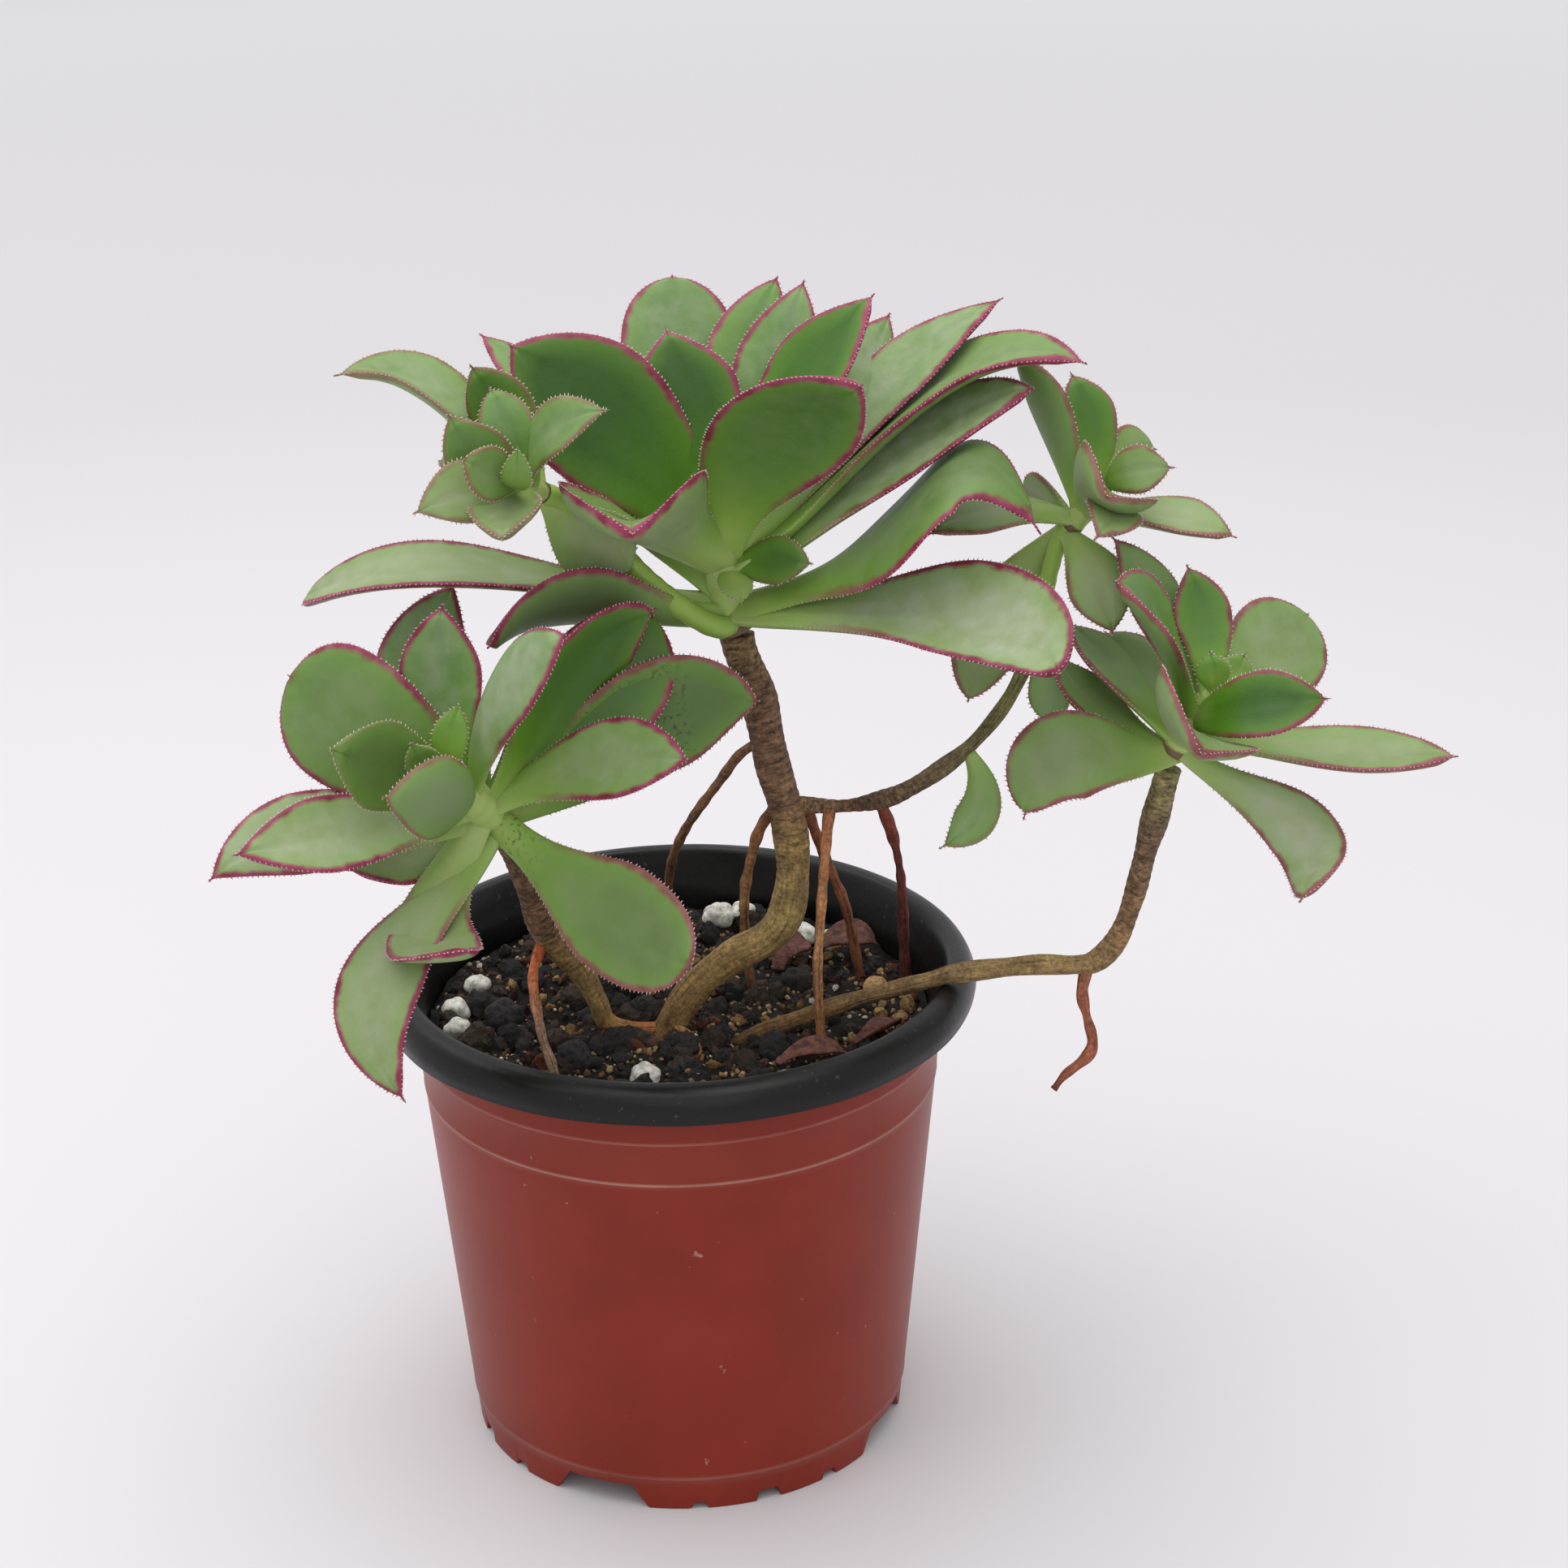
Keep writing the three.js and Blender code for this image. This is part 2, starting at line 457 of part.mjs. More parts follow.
    leaves: [
      [0.7, 118, 65, 20.5, 0.6, 1.5, -0.5, 9.5, -18, 17, 0.1, 0],
      [0.3, 153, 65.5, 29, 0.6, 1, 1, 12, 59, 37, 0, 0],
      [0.9, -27, 22, 12, 0.6, 1.6, -3, 8.5, 66, 19, 0.2, 0],
      [0.7, 39, 22.5, 14, 0.7, 2.6, -0.5, 9.5, 60, 10, 0.3, 0],
      [0.4, -84, 24, 18.5, 0.6, 0.6, 0.2, 20.5, -41, 72, 0.2, 0, 0.6],
      [0.3, -21, -3, 26, 0.7, 1, 0, 12, 12, 34, 0, 0],
      [0.2, -85, 8, 18, 0.6, 2.5, 4, 10, -20, 20, 0, 0],
      [0.15, -167, 0, 25.5, 0.6, 2, -2, 12, -20, 15, 0, 0],
      [0.1, 120, 9, 15.5, 0.6, 0.5, 0, 9, -96, 15, 0.2, 0],
      [0, 180, -61, 35, 0.6, 2, -4, 12.5, -90, 10, 0.6, 0],
      [-0.1, -59, -45, 19.4, 0.6, 3.5, -1, 11, 22, 6, 0.1, 0],
      [0.2, 75, 15, 20, 0.7, 2, 0, 10, 0, 14, 0.3, 0],
    ],
  },
  {
    name: 'head_right_lower',
    heart: [84.8, -15, 132.7],
    crown: [91.2, -18, 144.6],
    stalk: 2.5,
    leaves: [
      [0.3, 142, 64, 34.5, 0.7, 1, -3.5, 10, 152, 15, 0, 0, 1.1],
      [0.5, -159, 60, 30.5, 0.6, 2, -1.5, 19, -23, 42, 0.1, 0],
      [0.8, 107, 64, 22.5, 0.7, -1, -1.5, 10, -13, 24, 0.2, 0],
      [0.7, 44, 19, 28.5, 0.6, -1.4, 0.2, 18.5, 53, 9, 1, 0],
      [0.5, -31, 19.5, 24, 0.66, 1.8, -4.8, 12, 53, 22, 0.3, 0, 0.7],
      [0.2, -91, 17, 28.5, 0.6, 2.2, -1.4, 25, -42, 60, 0.3, 0],
      [0.2, -13, 0, 44.5, 0.7, -2, 2, 15.5, 9, 28, 0.1, 1, 1.5],
      [0.1, -52, -31, 34.5, 0.88, -1, 6.8, 12, 32, 4, 0.9, 1, 1.7],
      [0, -160, -14, 28, 0.55, 5.6, -1, 16, -45, 8, 0.8, 1],
      [0.1, 135, 32, 29, 0.6, 0.5, 0, 12, 0, 34, 0, 0],
      [0.1, 122, 34, 24.5, 0.7, 0.5, -1.5, 11, 149, 12, 0.2, 0],
      [0, 146, 28, 26.5, 0.6, -2, 1.5, 12.5, 0, 28, 0, 0],
      [0.95, -133, 78, 7.5, 0.55, -0.5, 0.5, 6, -141, 28, 0.3, 0],
      [0.95, 30, 43, 8, 0.6, -0.5, 0, 6, 62, 28, 0.3, 0],
      [0.2, 75, 25, 28, 0.7, 2, 0, 14, 0, 14, 0.4, 0],
      [0.1, 98, 6, 28, 0.7, 3, 0, 13, 0, 12, 0.4, 0],
    ],
  },
];

// Green shoots, still smooth and leafy-green: one grew out of the main head and carries the upper
// left head, the other goes on from the high right branch to its head
const GREEN_SHOOTS = {
  head_main: [
    [10.8, -1, 151.4, 2.1], [8, -5, 152.6, 2], [3, -6, 156, 1.9], [-3, -7, 161.6, 1.9],
    [-10, -10, 171, 1.8], [-15.4, -12.6, 177, 1.8], [-19.3, -14, 179.4, 1.9],
  ],
  head_right_upper: [
    [63.6, 2.4, 150.6, 1.6], [65, 3.3, 158.5, 1.5], [67.3, 3.9, 165.4, 1.5], [72, 3, 171, 1.5],
  ],
};
const SHOOT_LEAF = {
  seat: [-18.6, -13.6, 179],
  leaf: [0, 13, -46, 19.5, 0.56, -0.9, 0.5, 14, 101, 12, 0.5, 0],
};
const shootSteps = (name) => GREEN_SHOOTS[name].length + 2;
const shootStem = (name, swell = 0) => stem(GREEN_SHOOTS[name], 8, shootSteps(name), swell);
const shootLeaf = (swell = 0) => blade(vector(SHOOT_LEAF.seat), SHOOT_LEAF.leaf, swell);
const shootSeat = joined([shootStem('head_main', CUT_GAP), shootLeaf(CUT_GAP)]);

const placeOn = ({ heart, crown }, share) => vector(heart).lerp(vector(crown), share);
function stalkOf(head) {
  const stop = (share, radius) => [...placeOn(head, share).toArray(), radius];
  const foot = head.foot ? [[...head.foot, head.stalk]] : [];
  const route = [...foot, stop(0, head.stalk), stop(0.5, head.stalk), stop(0.9, head.stalk * 0.7)];
  return stem(route, 8, route.length);
}
const largestBody = (solid) => solid.decompose().sort((one, other) => other.volume() - one.volume())[0];
for (const head of HEADS) {
  const parts = [stalkOf(head), ...head.leaves.map((leaf) => blade(placeOn(head, leaf[0]), leaf))];
  if (GREEN_SHOOTS[head.name]) parts.push(shootStem(head.name));
  if (head.name === 'head_main') parts.push(shootLeaf());
  let whole = joined(parts).subtract(woodSeat);
  if (head.name === 'head_upper_left') whole = whole.subtract(shootSeat);
  addPiece(head.name, largestBody(whole), leafSkin);
}

// Single leaves that hang from the high right branch
const HANGING_LEAVES = [
  { seat: [51.2, -2.3, 127.6], leaf: [0, -122, -58, 16.4, 0.82, -1.2, 2.2, 8.2, -4, 8, 0.2, 0, 0.6] },
  { seat: [63.4, 2, 147], leaf: [0, -62, -76, 15, 0.6, 1, 0, 7.5, 50, 20, 0.4, 0] },
];
HANGING_LEAVES.forEach(({ seat, leaf }, i) => {
  addPiece(`hanging_leaf_${i + 1}`, blade(vector(seat), leaf).subtract(woodSeat), palerLeafSkin);
});

// Grains on top of the soil. Each is x, y, z and radius.
const PERLITE_GRAINS = [
  [6.6, 35.4, 80.6, 2.8], [11.2, 37.2, 80.2, 2.4], [22.6, 27.6, 80, 2.6], [27.2, 25.2, 79.8, 2.1],
  [-39.4, -1.4, 79.8, 2.4], [-38.6, -8.6, 79.6, 2.3], [-36.4, 8.4, 79.8, 2.2],
  [-5.2, -27.6, 79.8, 2.4], [14, -32.4, 79.8, 2.1], [18.6, -30, 79.6, 1.9], [-0.2, -36, 79.6, 1.8],
];
const PUMICE_GRAINS = [[35, 5, 79.8, 2.4]];
const SCORIA_GRAINS = [
  [-31, -4.4, 80, 3.4], [-17.4, -21, 80, 3.2], [-9, -33.4, 79.6, 3], [23, -33, 79.6, 2.6],
];
PERLITE_GRAINS.forEach((place, i) => addPiece(`perlite_${i + 1}`, grain(place), perlite));
PUMICE_GRAINS.forEach((place, i) => addPiece(`pumice_${i + 1}`, grain(place), pumice));
SCORIA_GRAINS.forEach((place, i) => addPiece(`scoria_${i + 1}`, grain(place), scoria));

// Dried leaves that fell on the soil and curled up
const DRIED_LEAVES = [
  { seat: [24.6, 19.4, 80.2], leaf: [0, 2, 8, 11, 0.5, 2, 1, 7, 20, 34, 0.3, 0] },
  { seat: [17.4, -25, 80.2], leaf: [0, 14, 3, 12, 0.5, 1.2, 1.5, 5, 15, 34, 0, 0] },
  { seat: [30.6, -17.4, 80.2], leaf: [0, 40, 5, 10, 0.5, 1.4, -1, 6, -15, 34, 0.4, 0] },
  { seat: [17.6, 12, 80.2], leaf: [0, 60, 6, 11, 0.5, 2, 1, 7.5, 25, 34, 0.4, 0] },
];
const DRIED_THINNESS = 0.85;
DRIED_LEAVES.forEach(({ seat, leaf }, i) => {
  addPiece(`dried_leaf_${i + 1}`, blade(vector(seat), leaf, 0, DRIED_THINNESS), driedLeaf);
});

// Soil: fills the liner, with a lumpy top and plain holes for the wood, the roots and the grains
const soilRadius = (height) => linerInner(height) - GAP;
const SOIL_BOTTOM = LINER_FLOOR_TOP + GAP;
const SOIL_RINGS = [36, 26, 15];
const soilShape = new THREE.LatheGeometry(
  [
    ...disc(2 * GAP + LINER_THICKNESS, 0.9), [soilRadius(SOIL_BOTTOM), SOIL_BOTTOM],
    [soilRadius(SOIL_HEIGHT), SOIL_HEIGHT],
    ...SOIL_RINGS.map((radius) => [radius, SOIL_HEIGHT]), [0, SOIL_HEIGHT],
  ].map(([radius, height]) => new THREE.Vector2(radius, height)),
  ROUND_STEPS,
);
soilShape.rotateX(Math.PI / 2);
const soilPoints = soilShape.attributes.position;
for (let i = 0; i < soilPoints.count; i += 1) {
  const [x, y, z] = [soilPoints.getX(i), soilPoints.getY(i), soilPoints.getZ(i)];
  const lumps = Math.sin(0.55 * x + 0.9) * Math.cos(0.47 * y) + Math.sin(0.31 * x - 0.42 * y + 2);
  const mound = 0.5 - Math.hypot(x, y) / soilRadius(SOIL_HEIGHT);
  if (z > SOIL_HEIGHT - 1) soilPoints.setZ(i, z + SOIL_ROUGHNESS * lumps + mound);
}
const soilCuts = [
  woodSeat,
  ...AERIAL_ROOTS.map((route) => stem(route, 6, rootSteps(route), CUT_GAP)),
  ...[...PERLITE_GRAINS, ...PUMICE_GRAINS, ...SCORIA_GRAINS].map((place) => grain(place, CUT_GAP)),
  ...DRIED_LEAVES.map(({ seat, leaf }) => blade(vector(seat), leaf, CUT_GAP, DRIED_THINNESS)),
];
addPiece('soil', solidOf(soilShape).subtract(joined(soilCuts)), pottingMix);

export default group;
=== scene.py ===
# Looks of the potted aeonium: a branching succulent with five leaf heads in a two-coloured nursery pot.
# Lengths are in millimetres until a mesh is made, +Z is up, and the plant faces -Y as in the CAD frame.

import bmesh
import bpy
import numpy as np
from mathutils import Matrix


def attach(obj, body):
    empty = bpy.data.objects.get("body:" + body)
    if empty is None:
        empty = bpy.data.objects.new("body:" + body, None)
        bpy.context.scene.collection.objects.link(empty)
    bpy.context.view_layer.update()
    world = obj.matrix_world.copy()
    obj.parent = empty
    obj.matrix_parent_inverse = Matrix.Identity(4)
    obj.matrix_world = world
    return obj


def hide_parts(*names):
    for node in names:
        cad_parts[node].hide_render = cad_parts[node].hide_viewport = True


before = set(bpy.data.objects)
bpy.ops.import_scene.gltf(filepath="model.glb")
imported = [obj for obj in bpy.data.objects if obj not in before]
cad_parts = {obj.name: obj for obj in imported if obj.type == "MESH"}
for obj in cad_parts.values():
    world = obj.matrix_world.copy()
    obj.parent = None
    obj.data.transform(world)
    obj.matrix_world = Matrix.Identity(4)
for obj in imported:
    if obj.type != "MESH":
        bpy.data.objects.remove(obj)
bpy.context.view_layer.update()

# Camera
# The view is from the front, 22.5 degrees down, with a slight tilt of the horizon, through a lens that
# takes in 26 degrees. The plant is seen from its fullest side.
DOWN = np.radians(22.5)
TILT = np.radians(-0.95)
AIM = np.array([19.27, 0, 121.6])
STANDOFF = 594.35
SENSOR = 36
LENS = 78.93

forward = np.array([0, np.cos(DOWN), -np.sin(DOWN)])
level_right = np.array([1.0, 0, 0])
level_up = np.cross(level_right, forward)
right = level_right * np.cos(TILT) + level_up * np.sin(TILT)
up = level_up * np.cos(TILT) - level_right * np.sin(TILT)
camera_data = bpy.data.cameras.new("camera")
camera_data.sensor_width = SENSOR
camera_data.lens = LENS
camera_data.clip_start = 0.01
camera_data.clip_end = 50
camera = bpy.data.objects.new("camera", camera_data)
placement = np.eye(4)
placement[:3, 0] = right
placement[:3, 1] = up
placement[:3, 2] = -forward
placement[:3, 3] = (AIM - forward * STANDOFF) / 1000
camera.matrix_world = Matrix(placement.tolist())
bpy.context.scene.collection.objects.link(camera)
bpy.context.scene.camera = camera

# Pot wall
# The outer layer of a two-layer nursery pot, blow moulded in thin brick-coloured polypropylene. It is
# one turned skin with a notched foot, and four drain holes are punched in its raised floor.
POT_HEIGHT = 89
LIP_HEIGHT = 6
BASE_RADIUS = 39
WALL_TOP_RADIUS = 46.8
WALL_THICKNESS = 0.9
FLOOR_HEIGHT = 4.8
FLOOR_THICKNESS = 1
FLOOR_TOP = FLOOR_HEIGHT + FLOOR_THICKNESS
FOOT_RING_WIDTH = 1.4
DISC_RADIUS = 17.5
DISC_SLOPE = 2.5
RING_HEIGHT = 68.3
FAINT_RING_HEIGHT = 76.4
WALL_STEP = 0.2
RIDGE = 0.13
FAINT_RIDGE = 0.07
POT_STEPS = 720
LINER_STEPS = 288
BED_STEPS = 220
NOTCH_START = -113
NOTCH_ZONE = 4.7
# Each notch is its turn from a large one (degrees), its width, its height and its width at the top
NOTCHES = [(0, 18, 4.4, 12), (26.5, 3, 1.2, 2), (45, 4.6, 2, 3.6), (63.5, 3.4, 1.3, 2.4)]
QUARTERS = (0, 90, 180, 270)
DRAIN_RADIUS = 4.5
DRAIN_PLACE = 29
DRAIN_SIDES = 48
WALL_CREASE = 40
LINER_CREASE = 50
SOIL_CREASE = 55


def linear(code):
    """An sRGB colour such as "803125" as linear red, green, blue and alpha: ((c + 0.055) / 1.055) ** 2.4
    above 0.04, and c / 12.92 below it."""
    shares = np.array([int(code[i:i + 2], 16) / 255 for i in (0, 2, 4)])
    curved = ((shares + 0.055) / 1.055) ** 2.4
    return (*np.where(shares > 0.04045, curved, shares / 12.92), 1)


def set_inputs(material, node, inputs):
    """Gives each named input of a node its value, or links it to another node's output."""
    for name, value in inputs.items():
        if isinstance(value, bpy.types.NodeSocket):
            material.node_tree.links.new(value, node.inputs[name])
        else:
            node.inputs[name].default_value = value


def add_node(material, kind, inputs, stops=(), out=0, **settings):
    """Adds a shader node with its settings and inputs, and gives one of its outputs. Stops fill a ramp."""
    node = material.node_tree.nodes.new("ShaderNode" + kind)
    for name, value in settings.items():
        setattr(node, name, value)
    set_inputs(material, node, inputs)
    for i, (place, value) in enumerate(stops):
        elements = node.color_ramp.elements
        element = elements[i] if i < 2 else elements.new(place)
        element.position = place
        element.color = value
    return node.outputs[out]


def new_material(name):
    """A new material, and the place on a piece (Object coordinates) that its patterns follow."""
    material = bpy.data.materials.new(name)
    material.use_nodes = True
    return material, add_node(material, "TexCoord", {}, out="Object")


def finish_material(material, inputs):
    """Gives the material's shader its values and links."""
    set_inputs(material, material.node_tree.nodes["Principled BSDF"], inputs)


def put_mesh(name, parts, material, sharp_angle=None):
    """Joins parts into one smooth mesh at the origin. A part is its points (mm), blocks of faces, and values
    at the points."""
    starts = np.cumsum([0] + [len(points) for points, _, _ in parts])
    blocks = [block + start for (_, blocks, _), start in zip(parts, starts) for block in blocks]
    faces = [face for block in blocks for face in block.tolist()]
    mesh = bpy.data.meshes.new(name)
    mesh.from_pydata((np.concatenate([points for points, _, _ in parts]) / 1000).tolist(), [], faces)
    for key in parts[0][2]:
        values = np.concatenate([values[key] for _, _, values in parts]).astype(np.float32)
        is_colour = values.ndim == 2
        layer = mesh.attributes.new(key, "FLOAT_COLOR" if is_colour else "FLOAT", "POINT")
        layer.data.foreach_set("color" if is_colour else "value", values.ravel())
    mesh.shade_smooth()
    if sharp_angle:
        mesh.set_sharp_from_angle(angle=np.radians(sharp_angle))
    mesh.materials.append(material)
    piece = bpy.data.objects.new(name, mesh)
    bpy.context.scene.collection.objects.link(piece)
    return piece


def closed_skin(rings):
    """Points and faces of a closed skin: quads between neighbouring rings, and at each end a fan round the
    ring's middle."""
    rows, around = rings.shape[:2]
    here = np.arange(around)
    beyond = (here + 1) % around
    row = np.arange(rows - 1)[:, None] * around
    quads = np.stack([row + here, row + beyond, row + around + beyond, row + around + here], -1)
    first = np.stack([np.full(around, rows * around), beyond, here], -1)
    tail = row[-1] + around
    last = np.stack([np.full(around, rows * around + 1), tail + here, tail + beyond], -1)
    points = np.concatenate([rings.reshape(-1, 3), [rings[0].mean(0), rings[-1].mean(0)]])
    return points, [quads.reshape(-1, 4), first, last]


def full_turn(steps):
    """Angles at even steps of a full turn."""
    return np.arange(steps) / steps * 2 * np.pi


def turned_rings(profile, steps):
    """Rings of a profile of radius and height turned about Z: each point at angle q is radius cos q,
    radius sin q, height."""
    profile = np.array(profile, float)
    angle = full_turn(steps)
    radius = profile[:, :1]
    height = np.broadcast_to(profile[:, 1:], (len(profile), steps))
    return np.stack([radius * np.cos(angle), radius * np.sin(angle), height], -1), angle


def wall_radius(height):
    return BASE_RADIUS + (WALL_TOP_RADIUS - BASE_RADIUS) / (POT_HEIGHT - LIP_HEIGHT) * height


def floor_disc(lift, inset):
    rim = DISC_RADIUS + DISC_SLOPE - inset
    top = FLOOR_THICKNESS + lift
    return [(0.5, top), (DISC_RADIUS - inset, top), (rim, FLOOR_TOP + lift)]


def notch_depth(angle):
    """How high the foot is cut at an angle: at an arc length x from a notch's middle, its height times
    (half width - |x|) over its slant, kept between nought and one."""
    depth = np.zeros_like(angle)
    for turn, width, height, top in NOTCHES:
        for quarter in QUARTERS:
            away = angle - np.radians(NOTCH_START + turn + quarter)
            arc = np.abs((away + np.pi) % (2 * np.pi) - np.pi) * BASE_RADIUS
            slant = np.clip((width / 2 - arc) / ((width - top) / 2), 0, 1)
            depth = np.maximum(depth, height * slant)
    return depth


def punch_drains(piece):
    """Cuts the four round drain holes through a piece's floor."""
    drill = bpy.data.meshes.new("drain_drill")
    shape = bmesh.new()
    for quarter in QUARTERS:
        turn = np.radians(NOTCH_START + quarter)
        middle = DRAIN_PLACE / 1000 * np.array([np.cos(turn), np.sin(turn), 0])
        bmesh.ops.create_cone(
            shape, cap_ends=True, segments=DRAIN_SIDES, radius1=DRAIN_RADIUS / 1000,
            radius2=DRAIN_RADIUS / 1000, depth=0.03, matrix=Matrix.Translation(middle.tolist()),
        )
    shape.to_mesh(drill)
    shape.free()
    cutter = bpy.data.objects.new("drain_drill", drill)
    bpy.context.scene.collection.objects.link(cutter)
    cut = piece.modifiers.new("drains", "BOOLEAN")
    cut.operation = "DIFFERENCE"
    cut.object = cutter
    bpy.context.view_layer.update()
    punched = bpy.data.meshes.new_from_object(piece.evaluated_get(bpy.context.evaluated_depsgraph_get()))
    piece.modifiers.clear()
    bpy.data.objects.remove(cutter)
    piece.data = punched


# Terracotta-coloured polypropylene: satin from the mould, with fine pimples, faint flow mottling, pale
# scuffs near the foot, a painted pale highlight along the two ring lines, and a little dust.
pot_plastic, place = new_material("terracotta_polypropylene")
mottle, pimples, flecks, patches = (
    add_node(pot_plastic, "TexNoise", {"Vector": place, "Scale": scale, "Detail": detail})
    for scale, detail in ((45, 5), (1400, 2), (420, 4), (60, 3))
)
bricks = [(0.3, linear("7b2414")), (0.7, linear("872a18"))]
brick = add_node(pot_plastic, "ValToRGB", {"Fac": mottle}, bricks)
fleck_share = add_node(pot_plastic, "MapRange", {"Value": flecks, 1: 0.7, 2: 0.76})
patch_share = add_node(pot_plastic, "MapRange", {"Value": patches, 1: 0.52, 2: 0.7})
flecked = add_node(pot_plastic, "Math", {0: fleck_share, 1: patch_share}, operation="MULTIPLY")
# Painted highlight: the scuff mask also paints the ring line and the faint ring line pale, as a thin glint
# broken by the patches.
scuff = add_node(pot_plastic, "Attribute", {}, out="Fac", attribute_name="scuff")
scuffed_and_highlit = add_node(pot_plastic, "Math", {0: scuff, 1: patches}, operation="MULTIPLY")
worn_and_highlit = add_node(pot_plastic, "Math", {0: flecked, 1: scuffed_and_highlit}, operation="MAXIMUM", use_clamp=True)
finish_material(pot_plastic, {
    "Base Color": add_node(
        pot_plastic, "Mix", {0: worn_and_highlit, 6: brick, 7: linear("c9a08e")}, out=2, data_type="RGBA",
    ),
    "Roughness": 0.38, "IOR": 1.49, "Specular IOR Level": 0.26,
    "Normal": add_node(pot_plastic, "Bump", {"Height": pimples, "Strength": 0.12, "Distance": 0.0002}),
})

WALL_TOP = POT_HEIGHT - LIP_HEIGHT - 0.4
outer_line = [
    *floor_disc(-FLOOR_THICKNESS, -0.5), (BASE_RADIUS - FOOT_RING_WIDTH - 1, FLOOR_HEIGHT),
    (BASE_RADIUS - FOOT_RING_WIDTH - 0.6, 2.5), (BASE_RADIUS - FOOT_RING_WIDTH, 0.1),
    (BASE_RADIUS - FOOT_RING_WIDTH + 0.15, 0), (BASE_RADIUS - 0.2, 0), (BASE_RADIUS, 0.15),
    (wall_radius(3), 3), (wall_radius(NOTCH_ZONE), NOTCH_ZONE), (wall_radius(6.2), 6.2),
    (wall_radius(6.6) + 0.26, 6.6), (wall_radius(7.3) + WALL_STEP, 7.3),
]
outer_line += [(wall_radius(z) + WALL_STEP, z) for z in np.linspace(10, RING_HEIGHT - 1.2, 12)]
for height, ridge in ((RING_HEIGHT, RIDGE), (FAINT_RING_HEIGHT, FAINT_RIDGE)):
    for above, share in ((-0.35, 0), (-0.1, 1), (0.15, 1), (0.4, 0)):
        outer_line.append((wall_radius(height + above) + WALL_STEP + share * ridge, height + above))
outer_line.append((wall_radius(WALL_TOP), WALL_TOP))
inner_line = [
    (wall_radius(WALL_TOP) - WALL_THICKNESS, WALL_TOP), (wall_radius(FLOOR_TOP) - WALL_THICKNESS, FLOOR_TOP),
    *reversed(floor_disc(0, 0)),
]
wall_rings, wall_angle = turned_rings(outer_line + inner_line, POT_STEPS)
wall_height = wall_rings[..., 2]
in_foot = (np.hypot(wall_rings[..., 0], wall_rings[..., 1]) > 30) & (wall_height < NOTCH_ZONE)
cut = notch_depth(wall_angle)[None, :]
wall_rings[..., 2] = np.where(in_foot, cut + wall_height * (1 - cut / NOTCH_ZONE), wall_height)
wall_points, wall_faces = closed_skin(wall_rings)
# Scuffs near the foot, and painted highlights on the two ring lines: height on the wall, their spread and
# how strong they are
SCUFFS_AND_RING_HIGHLIGHTS = [(RING_HEIGHT, 0.22, 0.9), (FAINT_RING_HEIGHT, 0.2, 0.55), (6.6, 0.35, 0.4)]
scuffs_and_ring_highlights = 0
for height, spread, strong in SCUFFS_AND_RING_HIGHLIGHTS:
    scuffs_and_ring_highlights = scuffs_and_ring_highlights + strong * np.exp(-((wall_points[:, 2] - height) / spread) ** 2)
wall_piece = put_mesh("pot_outer_wall", [(wall_points, wall_faces, {"scuff": scuffs_and_ring_highlights})], pot_plastic)
punch_drains(wall_piece)
wall_piece.data.set_sharp_from_angle(angle=np.radians(WALL_CREASE))
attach(wall_piece, "root")
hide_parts("pot_wall")

# Pot liner
# The inner layer, the same sheet in black, bonded inside the wall. Its top turns outward over the wall as
# the rolled lip, and the same four holes go through its floor.
GAP = 0.3
LINER_THICKNESS = 0.8
RIM_RADIUS = 52.5
LINER_FLOOR = FLOOR_TOP + GAP
LINER_FLOOR_TOP = LINER_FLOOR + LINER_THICKNESS


def smooth_line(stops, per_span):
    """A Catmull-Rom line. Between stops b and c, with a before and d after, the point at u is half of
    2b + (c - a) u + (2a - 5b + 4c - d) u^2 + (3b - a - 3c + d) u^3."""
    stops = np.array(stops, float)
    longer = np.concatenate([[2 * stops[0] - stops[1]], stops, [2 * stops[-1] - stops[-2]]])
    u = np.linspace(0, 1, per_span, endpoint=False)[None, :, None]
    a, b, c, d = (longer[i:len(longer) - 3 + i, None] for i in range(4))
    line = 0.5 * (2 * b + (c - a) * u + (2 * a - 5 * b + 4 * c - d) * u**2 + (3 * b - a - 3 * c + d) * u**3)
    return np.concatenate([line.reshape(-1, stops.shape[1]), stops[-1:]])


def liner_outer(height):
    return wall_radius(height) - WALL_THICKNESS - GAP


def liner_inner(height):
    return liner_outer(height) - LINER_THICKNESS


# Black polypropylene: satin, with grey dust in fine specks, and its gloss changes in drifts.
liner_plastic, place = new_material("black_polypropylene")
specks = add_node(liner_plastic, "TexNoise", {"Vector": place, "Scale": 900, "Detail": 3})
drifts = add_node(liner_plastic, "TexNoise", {"Vector": place, "Scale": 70, "Detail": 3})
speck_share = add_node(liner_plastic, "MapRange", {"Value": specks, 1: 0.66, 2: 0.76, 4: 0.5})
drift_share = add_node(liner_plastic, "MapRange", {"Value": drifts, 1: 0.45, 2: 0.75, 3: 0.1})
dust = add_node(liner_plastic, "Math", {0: speck_share, 1: drift_share}, operation="MULTIPLY")
finish_material(liner_plastic, {
    "Base Color": add_node(
        liner_plastic, "Mix", {0: dust, 6: linear("0d0c0d"), 7: linear("7d7874")}, out=2, data_type="RGBA",
    ),
    "Roughness": add_node(liner_plastic, "MapRange", {"Value": drifts, 1: 0.3, 2: 0.7, 3: 0.28, 4: 0.46}),
    "IOR": 1.49, "Specular IOR Level": 0.3,
    "Normal": add_node(liner_plastic, "Bump", {"Height": specks, "Strength": 0.15, "Distance": 0.0003}),
})

